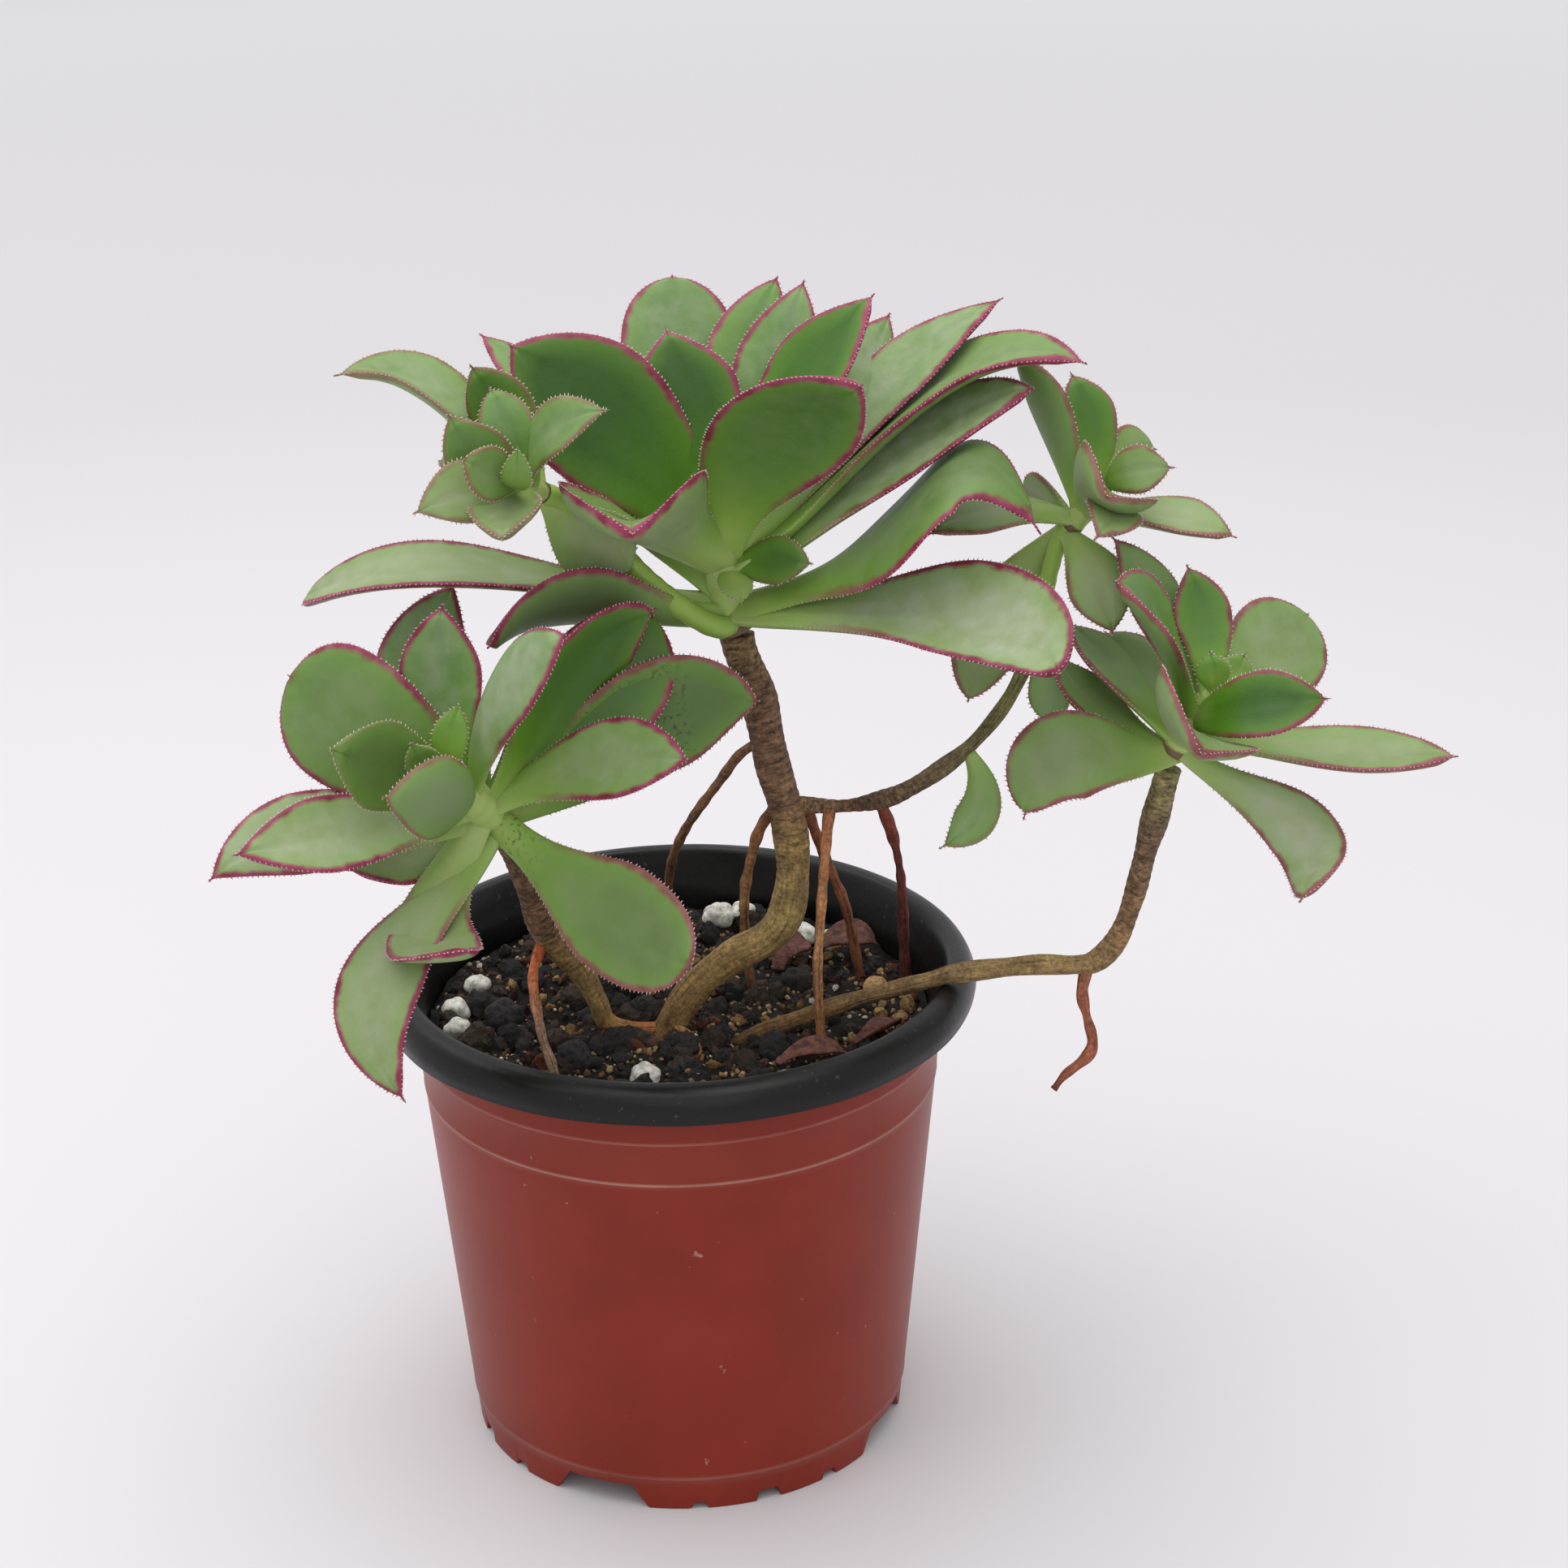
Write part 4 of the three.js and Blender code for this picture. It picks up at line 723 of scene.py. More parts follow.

# Leaf heads
# Five rosettes of fleshy leaves, each grown with its stalk as one body. Leaves are thick along the middle
# and thin at the margin, which is crimson and set with tiny teeth whose pale tips are a painted glint, and
# they pale towards their seats, where a brighter yellow-green is a painted glow through the thin flesh.
# A leaf row: seat (a share of the way from the head's heart to its crown), bearing, rise, length, peak,
# arch, sway, width, roll, cup, bluntness, how late it bends and, where it isn't the usual one, its waist.
HEADS = [
    ("rosette_main", "head_main", (11.6, -0.3, 149.6), (10.5, 0, 152.6), (9, 0, 170), 3.1, [
        (0.85, 105, 51, 47, 0.7, -0.5, 1, 20.5, -5, 12, 1, 0),
        (0.8, 72, 48, 49, 0.8, 3, 0.5, 14, 25, 15, 0, 0),
        (0.9, 52, 57, 44, 0.7, 1, -1, 14, 32, 18, 0, 0),
        (0.85, 7, 56.5, 47, 0.7, 1.2, -1.5, 20, 24, 26, 0, 0),
        (0.5, 42, 43, 53, 0.8, 3, -4.5, 14, 54, 15, 0, 0),
        (0.95, 129, 67, 33, 0.7, 1.5, 1, 19, -35, 26, 0, 0),
        (0.6, 177, 47, 50, 0.65, 2.5, 1, 24, -68, 15, 0.25, 0),
        (0.6, -54, 45, 54, 0.6, 5, -2.5, 22, 138, 22, 0.6, 0),
        (0.5, -110, 25, 43.5, 0.6, 2.3, -6, 31, 8, 72, 0.3, 0),
        (0.5, 19, 39.5, 64.5, 0.7, 2, 0.5, 15, 16, 28, 0, 1),
        (0.4, -11, 33.5, 71.5, 0.88, 4, 8.5, 18.5, 9, 28, 0, 1),
        (0.3, -3, 34, 61.5, 0.87, 0.8, 3, 18.5, 20, 23, 0.3, 1, 1),
        (0.05, -17, 21, 56, 0.81, 10.5, 2, 26, 18, -5, 0.5, 4, 2.5),
        (0.05, -34.5, 1.5, 64, 0.84, 2.3, 6, 21.5, 31, 35, 1, 1, 2.3),
        (0.15, -182, 0.5, 71.5, 0.88, 5.5, 7, 14.5, -13, 35, 1, 1, 2.2),
        (0, -152, 4, 44, 0.62, 4, -1.5, 21.5, 42, 25, 1, 1, 1.5),
        (0.5, 148, 35, 59, 0.7, 3.5, 3.5, 13, -18, 20, 0, 0),
        (0.3, 95, 22, 50, 0.7, 5, 0, 21, 0, 14, 0.6, 1),
        (0.3, 62, 26, 50, 0.7, 5, 0, 19, 8, 12, 0.5, 1),
        (0.2, 132, 20, 46, 0.7, 5, 0, 20, -8, 12, 0.5, 1),
        (0.45, -75, -8, 11, 0.6, 1, 0, 6, 0, 15, 0.2, 0),
        (0.45, -30, 14, 17, 0.6, 1, 0, 8.5, 60, 15, 0.2, 0),
    ]),
    ("rosette_upper_left", "head_upper_left", None, (-19.3, -14, 179.4), (-24.4, -24, 184.8), 1.9, [
        (0, 175, 31.5, 37.5, 0.7, 3.5, -5, 15.5, -6, 38, 0, 1, 0.7),
        (0.1, 154, 60, 22.5, 0.7, -0.5, -2.5, 11, -67, 12, 0.3, 0),
        (0.3, 153, 67, 17, 0.7, 2, 2.5, 9, -59, 20, 0.3, 0),
        (0.2, -44, 44, 24, 0.6, 3, -3, 10, 67, 22, 0, 0, 0.6),
        (0.2, -155, 46, 20, 0.7, -1.5, 1.5, 11, -112, 15, 0, 0),
        (0.3, -139, 3, 22.5, 0.7, 2, 1.5, 10.5, -60, 15, 0, 0),
        (0.4, -98, -6, 20, 0.6, 0, -0.8, 13, 4, 46, 0, 0),
        (0.75, -119, 29, 16, 0.7, -0.5, 1, 9, -95, 28, 0.5, 0),
        (0.8, -80, 38, 14, 0.7, -2, 0, 5, 162, 28, 0.5, 0),
        (0.1, 146, 6, 20, 0.7, 1.5, 0, 11, -10, 14, 0.3, 0),
    ]),
    ("rosette_left", "head_left", None, (-28.4, -25, 126.1), (-36.2, -38, 140.6), 2.9, [
        (0.35, 171, 35, 36.5, 0.72, 1.2, 3, 24.5, -88, 5, 1, 0, 0.7),
        (0.1, 106, 54, 40, 0.8, -2.5, 5, 16, -12, 15, 0.3, 0),
        (0.5, 111, 72, 31, 0.7, -1.5, 1, 14, -27, 22, 0.2, 0),
        (0.4, -43, 56, 41.5, 0.7, 3.2, -1.5, 14, -115, 16, 0.2, 0, 0.7),
        (0.2, 26, 44, 43, 0.7, 4.8, -1.2, 20, 108, 32, 0.3, 1, 0.7),
        (0.1, 16, 18, 48, 0.7, 4, 1.5, 20, 86, 10, 0.5, 1),
        (0.2, -21, 21, 38.5, 0.6, 2.4, 2.6, 14, 53, 18, 0.3, 0, 1.1),
        (0.1, -41, -18, 46, 0.6, -1.8, 0.5, 18.5, 60, 4, 1, 0, 1.7),
        (0.2, -91, -17, 34, 0.84, -6, -4.5, 15, 8, 10, 0.5, 0, 0.7),
        (0, -112, -40.5, 50, 0.7, 3.8, -7.5, 16.5, 8, 20, 0.3, 1, 1.2),
        (0.3, -145, 4, 44, 0.7, 0, 0.5, 14, -43, 28, 0, 0),
        (0.1, -159, -3.5, 47, 0.7, 3.3, -2, 14.5, -46, 8, 0.1, 1),
        (0.6, -137, 30, 29, 0.7, 0, -0.5, 15, -86, 20, 0, 0),
        (0.6, -114, 19, 25, 0.74, 0, 4.4, 14, 83, 21, 0.3, 0, 1.1),
        (0.9, -118, 45, 12, 0.65, -0.5, 0, 6, -138, 28, 0.3, 0),
        (0.85, -20, 78, 13, 0.7, 0, -1.5, 6, 109, 28, 0.3, 0),
        (0, -159, -10, 25.5, 0.8, -2, -2, 11, -29, 15, 0.1, 0),
        (0.2, 122, 28, 32, 0.7, 4, 0, 16, 0, 14, 0.5, 1),
        (0.1, 32, 42, 42.5, 0.7, 1, -3, 21, 52, 9, 0.7, 1),
        (0.1, 140, 18, 38, 0.7, 4, 0, 16, -6, 12, 0.5, 1),
    ]),
    ("rosette_right_upper", "head_right_upper", None, (68.3, 4, 166), (74.8, 2, 174.8), 1.9, [
        (0.7, 118, 65, 20.5, 0.6, 1.5, -0.5, 9.5, -18, 17, 0.1, 0),
        (0.3, 153, 65.5, 29, 0.6, 1, 1, 12, 59, 37, 0, 0),
        (0.9, -27, 22, 12, 0.6, 1.6, -3, 8.5, 66, 19, 0.2, 0),
        (0.7, 39, 22.5, 14, 0.7, 2.6, -0.5, 9.5, 60, 10, 0.3, 0),
        (0.4, -84, 24, 18.5, 0.6, 0.6, 0.2, 20.5, -41, 72, 0.2, 0, 0.6),
        (0.3, -21, -3, 26, 0.7, 1, 0, 12, 12, 34, 0, 0),
        (0.2, -85, 8, 18, 0.6, 2.5, 4, 10, -20, 20, 0, 0),
        (0.15, -167, 0, 25.5, 0.6, 2, -2, 12, -20, 15, 0, 0),
        (0.1, 120, 9, 15.5, 0.6, 0.5, 0, 9, -96, 15, 0.2, 0),
        (0, 180, -61, 35, 0.6, 2, -4, 12.5, -90, 10, 0.6, 0),
        (-0.1, -59, -45, 19.4, 0.6, 3.5, -1, 11, 22, 6, 0.1, 0),
        (0.2, 75, 15, 20, 0.7, 2, 0, 10, 0, 14, 0.3, 0),
    ]),
    ("rosette_right_lower", "head_right_lower", None, (84.8, -15, 132.7), (91.2, -18, 144.6), 2.5, [
        (0.3, 142, 64, 34.5, 0.7, 1, -3.5, 10, 152, 15, 0, 0, 1.1),
        (0.5, -159, 60, 30.5, 0.6, 2, -1.5, 19, -23, 42, 0.1, 0),
        (0.8, 107, 64, 22.5, 0.7, -1, -1.5, 10, -13, 24, 0.2, 0),
        (0.7, 44, 19, 28.5, 0.6, -1.4, 0.2, 18.5, 53, 9, 1, 0),
        (0.5, -31, 19.5, 24, 0.66, 1.8, -4.8, 12, 53, 22, 0.3, 0, 0.7),
        (0.2, -91, 17, 28.5, 0.6, 2.2, -1.4, 25, -42, 60, 0.3, 0),
        (0.2, -13, 0, 44.5, 0.7, -2, 2, 15.5, 9, 28, 0.1, 1, 1.5),
        (0.1, -52, -31, 34.5, 0.88, -1, 6.8, 12, 32, 4, 0.9, 1, 1.7),
        (0, -160, -14, 28, 0.55, 5.6, -1, 16, -45, 8, 0.8, 1),
        (0.1, 135, 32, 29, 0.6, 0.5, 0, 12, 0, 34, 0, 0),
        (0.1, 122, 34, 24.5, 0.7, 0.5, -1.5, 11, 149, 12, 0.2, 0),
        (0, 146, 28, 26.5, 0.6, -2, 1.5, 12.5, 0, 28, 0, 0),
        (0.95, -133, 78, 7.5, 0.55, -0.5, 0.5, 6, -141, 28, 0.3, 0),
        (0.95, 30, 43, 8, 0.6, -0.5, 0, 6, 62, 28, 0.3, 0),
        (0.2, 75, 25, 28, 0.7, 2, 0, 14, 0, 14, 0.4, 0),
        (0.1, 98, 6, 28, 0.7, 3, 0, 13, 0, 12, 0.4, 0),
    ]),
]
# Green shoots carry the upper left and the upper right head, and one leaf hangs from the first
SHOOTS = {
    "rosette_main": [
        (10.8, -1, 151.4, 2.1), (8, -5, 152.6, 2), (3, -6, 156, 1.9), (-3, -7, 161.6, 1.9),
        (-10, -10, 171, 1.8), (-15.4, -12.6, 177, 1.8), (-19.3, -14, 179.4, 1.9),
    ],
    "rosette_right_upper": [
        (63.6, 2.4, 150.6, 1.6), (65, 3.3, 158.5, 1.5), (67.3, 3.9, 165.4, 1.5), (72, 3, 171, 1.5),
    ],
}
SHOOT_LEAF_SEAT = (-18.6, -13.6, 179)
SHOOT_LEAF = (0, 13, -46, 19.5, 0.56, -0.9, 0.5, 14, 101, 12, 0.5, 0)
WIDEST_PLACE = 0.66
ROOT_SHARE = 0.3
USUAL_WAIST = 0.9
MARGIN_THICKNESS = 0.75
MUCRO_LENGTH = 0.8
LEAF_STATIONS = 48
LEAF_COLUMNS = 17
TOOTH_SPACING = 0.85
TOOTH_LENGTH = 0.42
# How crimson each head's margins are
FLUSH = {
    "rosette_main": 1, "rosette_upper_left": 0.5, "rosette_left": 1, "rosette_right_upper": 0.7,
    "rosette_right_lower": 0.85,
}
BUD_WIDTH = 7
HEM_WIDTH = 16
# Leaves with small dark specks: head and number, and the shares of the length between which they lie
SPECKLED = {("rosette_left", 7): (-0.05, 0.3), ("rosette_left", 5): (0.3, 0.85)}
# Leaves deeper green or with more bloom than others of their age: number of the leaf, then both shares.
# The deeper green is partly a young leaf's own colour and partly painted shade, for leaves that lie in
# shade inside their rosette.
TONES = {
    "rosette_main": {
        0: (0, 0.5), 1: (0.1, 0.2), 2: (0, 0.5), 3: (0.6, 0), 4: (0, 0.7), 5: (1, 0), 6: (1, 0),
        # Painted light: leaf 11 of the main head gets full bloom to pale it, though it lies in the shade of
        # leaf 10 above it.
        7: (0.5, 0.1), 9: (0, 0.8), 10: (0, 0.3), 11: (0, 1), 12: (0.5, 0.2), 13: (0, 1), 14: (0.1, 0.7),
        15: (0.6, 0.2), 20: (0, 0), 21: (0.8, 0),
    },
    "rosette_upper_left": {0: (0.1, 0.5), 2: (0.3, 0.2), 3: (0.2, 0.4), 5: (0.1, 0.5)},
    "rosette_left": {
        1: (0, 0.7), 2: (0, 0.5), 3: (0, 0.8), 4: (0.75, 0), 5: (0.7, 0.1), 6: (0.1, 0.4), 7: (0.7, 0.15),
        9: (0.3, 0.5), 10: (0, 0.8), 11: (0, 0.9), 12: (0.4, 0.1), 13: (0.7, 0), 18: (0.7, 0.1),
    },
    "rosette_right_upper": {0: (0.5, 0), 9: (0.1, 0.4), 10: (0.1, 0.4)},
    "rosette_right_lower": {
        1: (0.2, 0.2), 3: (0.1, 0.4), 4: (1, 0), 6: (0.3, 0.4), 7: (0, 1), 8: (0.5, 0.3),
    },
}
# Leaves with a greener margin than the rest of their head: head and number, and their share of its flush
GREEN_HEMS = {
    ("rosette_left", 12): 0.15, ("rosette_left", 13): 0.6, ("rosette_left", 7): 0.8,
    ("rosette_left", 5): 0.8, ("rosette_main", 20): 0.3, ("rosette_main", 21): 0.3,
}
YOUNG_RISE = 55
OLD_RISE = -10
WAVE_SHARE = 0.012
WAVE_LENGTH = 4.3
CREASE_SHARE = 0.16
TOOTH_SUNK = 0.25
TOOTH_HALF = 0.24
TOOTH_STRAY = 0.22
TOOTH_LEAN = 0.35
BARE_SHARE = 0.12
STALK_SIDES = 20
SHOOT_SIDES = 16
STALK_TONE = 0.1
SHOOT_TONE = 0.2
# How far bark reaches up a stalk: on the main head, which sits on the trunk, and on the others
TRUNK_BARK = 5.5
BRANCH_BARK = 2.5
# What each point of a head tells the leaf material: place along the leaf, millimetres to its margin, upper
# face or lower, age, depth of green, bloom, crimson, specks and bark
LEAF_VALUES = ("along", "edge", "face", "old", "deep", "bloom", "flush", "specks", "woody")


def leaf_values(count, **given):
    """The values at a part's points: a given one is a number or a list, and the rest are nought."""
    return {key: np.zeros(count) + given.get(key, 0) for key in LEAF_VALUES}


def share_of_width(t, bluntness, waist):
    """A blade's width along its length as a share of its widest: up to the widest place a smooth rise from
    the root's share to the power of the waist, and past it (1 - v^(1.7 + 0.8 b))^(0.95 - 0.45 b), where b
    is the bluntness."""
    u = np.clip(t / WIDEST_PLACE, 0, 1)
    v = np.clip((t - WIDEST_PLACE) / (1 - WIDEST_PLACE), 0, 1)
    rise = ROOT_SHARE + (1 - ROOT_SHARE) * (u * u * (3 - 2 * u)) ** waist
    tip = (1 - v ** (1.7 + 0.8 * bluntness)) ** (0.95 - 0.45 * bluntness)
    return np.where(t < WIDEST_PLACE, rise, tip)


def blade_frame(seat, leaf, t):
    """Where a blade's midrib runs, and its directions there. The midrib is seat + t length outward +
    bend(t) (arch lift + sway level), with bend(t) = t^k (1 - t) over its value at the peak, k being 1 and
    how late it bends."""
    _, bearing, rise, length, peak, arch, sway, _, roll, _, _, late = leaf[:12]
    a, r, turn = np.radians([bearing, rise, roll])
    outward = np.array([np.cos(a) * np.cos(r), np.sin(a) * np.cos(r), np.sin(r)])
    level = np.array([-np.sin(a), np.cos(a), 0])
    lift = np.cross(outward, level)

    def midrib(t):
        bend = t ** (1 + late) * (1 - t) / (peak ** (1 + late) * (1 - peak))
        return np.array(seat) + t * length * outward + bend * (arch * lift + sway * level)

    t = t[:, None]
    along = unit(midrib(t + 0.01) - midrib(np.maximum(t - 0.01, 0)))
    side = np.cos(turn) * level + np.sin(turn) * lift
    across = unit(side - (along @ side)[:, None] * along)
    return midrib(t), along, across, np.cross(along, across)


def fleshy_blade(seat, leaf, phase, thinness=1, teeth=True, flush=1, specks=(2, 2), tone=None):
    """A closed fleshy blade and its teeth. Across the blade, place v runs from -1 to 1 and the section is
    an arc that turns by cup times v; its thickness falls from the middle to the margin with 1 - v^2 and
    rounds off at the very edge."""
    length, width, cup, bluntness = leaf[3], leaf[7], leaf[9], leaf[10]
    end = 1 + MUCRO_LENGTH / length
    t = end - end * (1 - np.linspace(0, 1, LEAF_STATIONS)) ** 1.6
    middle, along, across, lift = blade_frame(seat, leaf, t)
    fold = np.radians(cup if abs(cup) >= 1 else 1)
    waist = leaf[12] if len(leaf) > 12 else USUAL_WAIST
    blade_half = width / 2 * share_of_width(t, bluntness, waist)
    half = np.maximum(blade_half, 0.42 * np.clip((end - t) * length / (2 * MUCRO_LENGTH), 0.05, 1))[:, None]
    v = np.sin(np.linspace(-np.pi / 2, np.pi / 2, LEAF_COLUMNS))[None]
    wave = WAVE_SHARE * width * np.sin(t * length / WAVE_LENGTH + phase)[:, None]
    wave = wave * np.abs(v) ** 3 * np.sign(v + 0.01 * phase)
    out = half * np.sin(fold * v) / fold
    high = half * (1 - np.cos(fold * v)) / fold + wave * np.clip(half / 4, 0, 1)
    skin = middle[:, None] + out[..., None] * across[:, None] + high[..., None] * lift[:, None]
    facing = np.cos(fold * v)[..., None] * lift[:, None] - np.sin(fold * v)[..., None] * across[:, None]
    flesh = np.where(t > 0.9, 1.6 - 0.6 * t, 1.45 - 0.5 * t)[:, None]
    plump = (1.2 + 0.05 * width) * thinness * flesh
    slim = np.clip(half / 2.2, 0.15, 1)
    hem = MARGIN_THICKNESS * thinness
    thick = (hem + (plump - hem) * (1 - v**2)) * (1 - v**14) ** 0.5 * slim
    crease = CREASE_SHARE * plump * np.exp(-((v / 0.1) ** 2)) * np.clip(t, 0, 1)[:, None]
    upper = skin + (thick / 2 - crease)[..., None] * facing
    lower = skin - (thick / 2)[..., None] * facing
    rings = np.concatenate([upper, lower[:, -2:0:-1]], axis=1)[:, ::-1]
    spread = half * (1 - np.abs(v))
    edge = np.minimum(spread, np.maximum((end - t)[:, None] * length * 0.9, 0)) * (HEM_WIDTH / width) ** 0.6
    old = np.clip((YOUNG_RISE - leaf[2]) / (YOUNG_RISE - OLD_RISE), 0, 1)

    def round_values(top, under=None):
        under = top if under is None else under
        return with_ends(np.concatenate([top, under[:, -2:0:-1]], axis=1)[:, ::-1])

    shape = np.ones_like(edge)
    here = shape * np.clip(t, 0, 1)[:, None] * (0.5 if width < BUD_WIDTH else 1)
    speckled = np.clip(6 * (here - specks[0]), 0, 1) * np.clip(6 * (specks[1] - here), 0, 1)
    deep, bloom = tone or (0.15, 0.12 + 0.4 * old)
    red = flush if width > BUD_WIDTH else 0.15 * flush
    points, faces = closed_skin(rings)
    parts = [(points, faces, leaf_values(
        len(points), along=round_values(here), edge=round_values(edge), face=round_values(shape, -shape),
        old=old, deep=deep, bloom=bloom, flush=red, specks=round_values(speckled),
    ))]
    if teeth:
        for margin in (0, -1):
            outward = unit(skin[:, margin] - middle)
            parts.append(margin_teeth(skin[:, margin], along, facing[:, margin], outward, t, old, red))
    return parts


def margin_teeth(line, along, facing, outward, t, old, flush):
    """Teeth along one margin: four-cornered spikes at even steps of its length that lean to the tip."""
    length = length_along(line)
    first = np.interp(BARE_SHARE + 0.1 * old, t, length)
    at = np.arange(first, length[-1] - 0.3, TOOTH_SPACING)
    at = at + draw.uniform(-TOOTH_STRAY, TOOTH_STRAY, len(at)) * TOOTH_SPACING

    def here(values):
        return np.stack([np.interp(at, length, column) for column in values.T], -1)

    root, run, face, out = here(line), unit(here(along)), unit(here(facing)), unit(here(outward))
    reach = (TOOTH_LENGTH * draw.uniform(0.6, 1.25, len(at)))[:, None]
    tip = root + reach * unit(out + TOOTH_LEAN * run + 0.25 * draw.normal(size=(len(at), 1)) * face)
    sunk = root - TOOTH_SUNK * out
    side = TOOTH_HALF * run
    corners = np.stack([sunk - side, sunk + side, sunk + 0.22 * face, tip, sunk - 0.22 * face], 1)
    block = np.array([[0, 2, 3], [2, 1, 3], [1, 4, 3], [4, 0, 3], [0, 4, 1], [0, 1, 2]])
    flip = np.sum(np.cross(out, run) * face, axis=1) < 0
    faces = block[None] + (np.arange(len(at)) * 5)[:, None, None]
    faces = np.where(flip[:, None, None], faces, faces[..., ::-1])
    place = np.repeat(np.interp(at, length, np.clip(t, 0, 1)), 5)
    # The tip's edge value of -1 is where the leaf material paints the tooth pale, a painted glint.
    edge = np.tile([0, 0, 0, -1.0, 0], len(at))
    values = leaf_values(5 * len(at), along=place, edge=edge, old=old, flush=flush)
    return corners.reshape(-1, 3), [faces.reshape(-1, 3)], values


def stalk_relief(distance, angle):
    """Faint rings where leaves fell, and a slight swelling on two sides."""
    return 0.05 * np.sin(distance * 2.2) + 0.06 * np.sin(2 * angle + distance * 0.3)


def green_stem(route, sides, tone, bark_length=0):
    """A smooth green stalk or shoot. Tone is its place from pale base to full green, and bark thins out to
    nothing from its foot over the bark's length (mm)."""
    rings, distance = tube(route, THIN_STEP, sides, stalk_relief)
    points, faces = closed_skin(rings)
    woody = np.clip(1 - distance / bark_length, 0, 1) if bark_length else 0 * distance
    return points, faces, leaf_values(
        len(points), along=tone, edge=9.0, face=0.4, old=0.3, bloom=0.2,
        woody=with_ends(np.repeat(woody[:, None], sides, axis=1)),
    )


def leaf_material(name, green_codes, old_codes):
    """Living leaf flesh, from its pale seat to full green, with an older, greyer set of colours blended in
    by age."""
    flesh, place = new_material(name)
    along, edge, face, old, deep, waxy, flush, speckled, woody = (
        add_node(flesh, "Attribute", {}, out="Fac", attribute_name=value) for value in LEAF_VALUES
    )
    # Noise scales: clouds of 12 mm, mottling of 3 mm, grain of 0.5 mm and specks of 0.8 mm
    clouds, mottle, grain, specks = (
        add_node(flesh, "TexNoise", {"Vector": place, "Scale": scale, "Detail": detail})
        for scale, detail in ((85, 3), (330, 5), (2100, 2), (1250, 1))
    )
    # The deep green ramp is partly a young leaf's own colour and partly painted shade, for leaves that lie
    # in shade inside their rosette.
    young, aged, deep_green, crimson = (
        add_node(flesh, "ValToRGB", {"Fac": value}, list(zip(stops, map(linear, codes.split()))))
        for value, stops, codes in (
            (along, (0, 0.2, 0.45, 0.9), green_codes),
            (along, (0, 0.2, 0.45, 0.9), old_codes),
            (along, (0, 0.3, 0.6, 1), "a5bb62 487614 305a0b 2f540e"),
            (mottle, (0.3, 0.75), "761a34 a04264"),
        )
    )
    # The lower face carries a waxy bloom that greys its green. Clouds of bloom and water marks are thin at
    # a leaf's seat. Small dark specks lie in clusters on a few leaves. Where the flesh thins inside the
    # margin, the green is painted brighter as a glow of light through it. The crimson fades out towards the
    # seat, and a tooth's pale tip is a painted glint.
    under, outer, cloud_share, mottle_share, speck_share, cluster, painted_glow, reach, tooth_tip_glint, rough = (
        add_node(flesh, "MapRange", {"Value": value, 1: start, 2: stop, 3: low, 4: high})
        for value, start, stop, low, high in (
            (face, 0.3, -0.6, 0, 0.45), (along, 0.1, 0.4, 0, 1), (clouds, 0.36, 0.7, 0.12, 0.5),
            (mottle, 0.36, 0.7, 0.16, 0.6), (specks, 0.56, 0.64, 0, 0.85), (mottle, 0.4, 0.56, 0, 1),
            (edge, 4.5, 1.2, 0, 0.35), (along, 0.22, 0.5, 0, 1), (edge, -0.1, -0.7, 0, 1),
            (mottle, 0.3, 0.7, 0.42, 0.58),
        )
    )
    bloom = add_node(flesh, "Math", {0: under, 1: outer}, operation="MULTIPLY")
    dusting = add_node(flesh, "Math", {0: cloud_share, 1: mottle_share}, operation="ADD")
    outer_dusting = add_node(flesh, "Math", {0: dusting, 1: outer}, operation="MULTIPLY")
    dust = add_node(flesh, "Math", {0: outer_dusting, 1: waxy}, operation="MULTIPLY", use_clamp=True)
    clustered = add_node(flesh, "Math", {0: speck_share, 1: cluster}, operation="MULTIPLY")
    speck = add_node(flesh, "Math", {0: clustered, 1: speckled}, operation="MULTIPLY")
    # The crimson margin is about 1 mm wide and uneven. Bark creeps up a stalk's foot with an uneven edge
    uneven = add_node(flesh, "Math", {0: mottle, 1: 1.6, 2: edge}, operation="MULTIPLY_ADD")
    margin = add_node(flesh, "MapRange", {"Value": uneven, 1: 2.0, 2: 1.2})
    outer_margin = add_node(flesh, "Math", {0: margin, 1: reach}, operation="MULTIPLY")
    hem = add_node(flesh, "Math", {0: outer_margin, 1: flush}, operation="MULTIPLY")
    bark_edge = add_node(flesh, "Math", {0: woody, 1: mottle}, operation="ADD")
    bark_share = add_node(flesh, "MapRange", {"Value": bark_edge, 1: 0.75, 2: 1.0})
    colour = young
    for share, tint in (
        (old, aged), (deep, deep_green), (bloom, linear("8a9a70")), (dust, linear("a5ae92")),
        (speck, linear("33331f")), (painted_glow, linear("6a982c")), (hem, crimson), (tooth_tip_glint, linear("d8b9b4")),
        (bark_share, linear("6d5842")),
    ):
        colour = add_node(flesh, "Mix", {0: share, 6: colour, 7: tint}, out=2, data_type="RGBA")
    bump = add_node(flesh, "Bump", {"Height": grain, "Strength": 0.16, "Distance": 0.0002})
    dents = add_node(flesh, "Bump", {"Height": mottle, "Strength": 0.2, "Distance": 0.0006, "Normal": bump})
    finish_material(flesh, {
        "Base Color": colour, "Roughness": rough, "Normal": dents, "IOR": 1.42,
        "Subsurface Weight": 0.12, "Subsurface Radius": (0.5, 1.0, 0.25), "Subsurface Scale": 0.0015,
    })
    return flesh
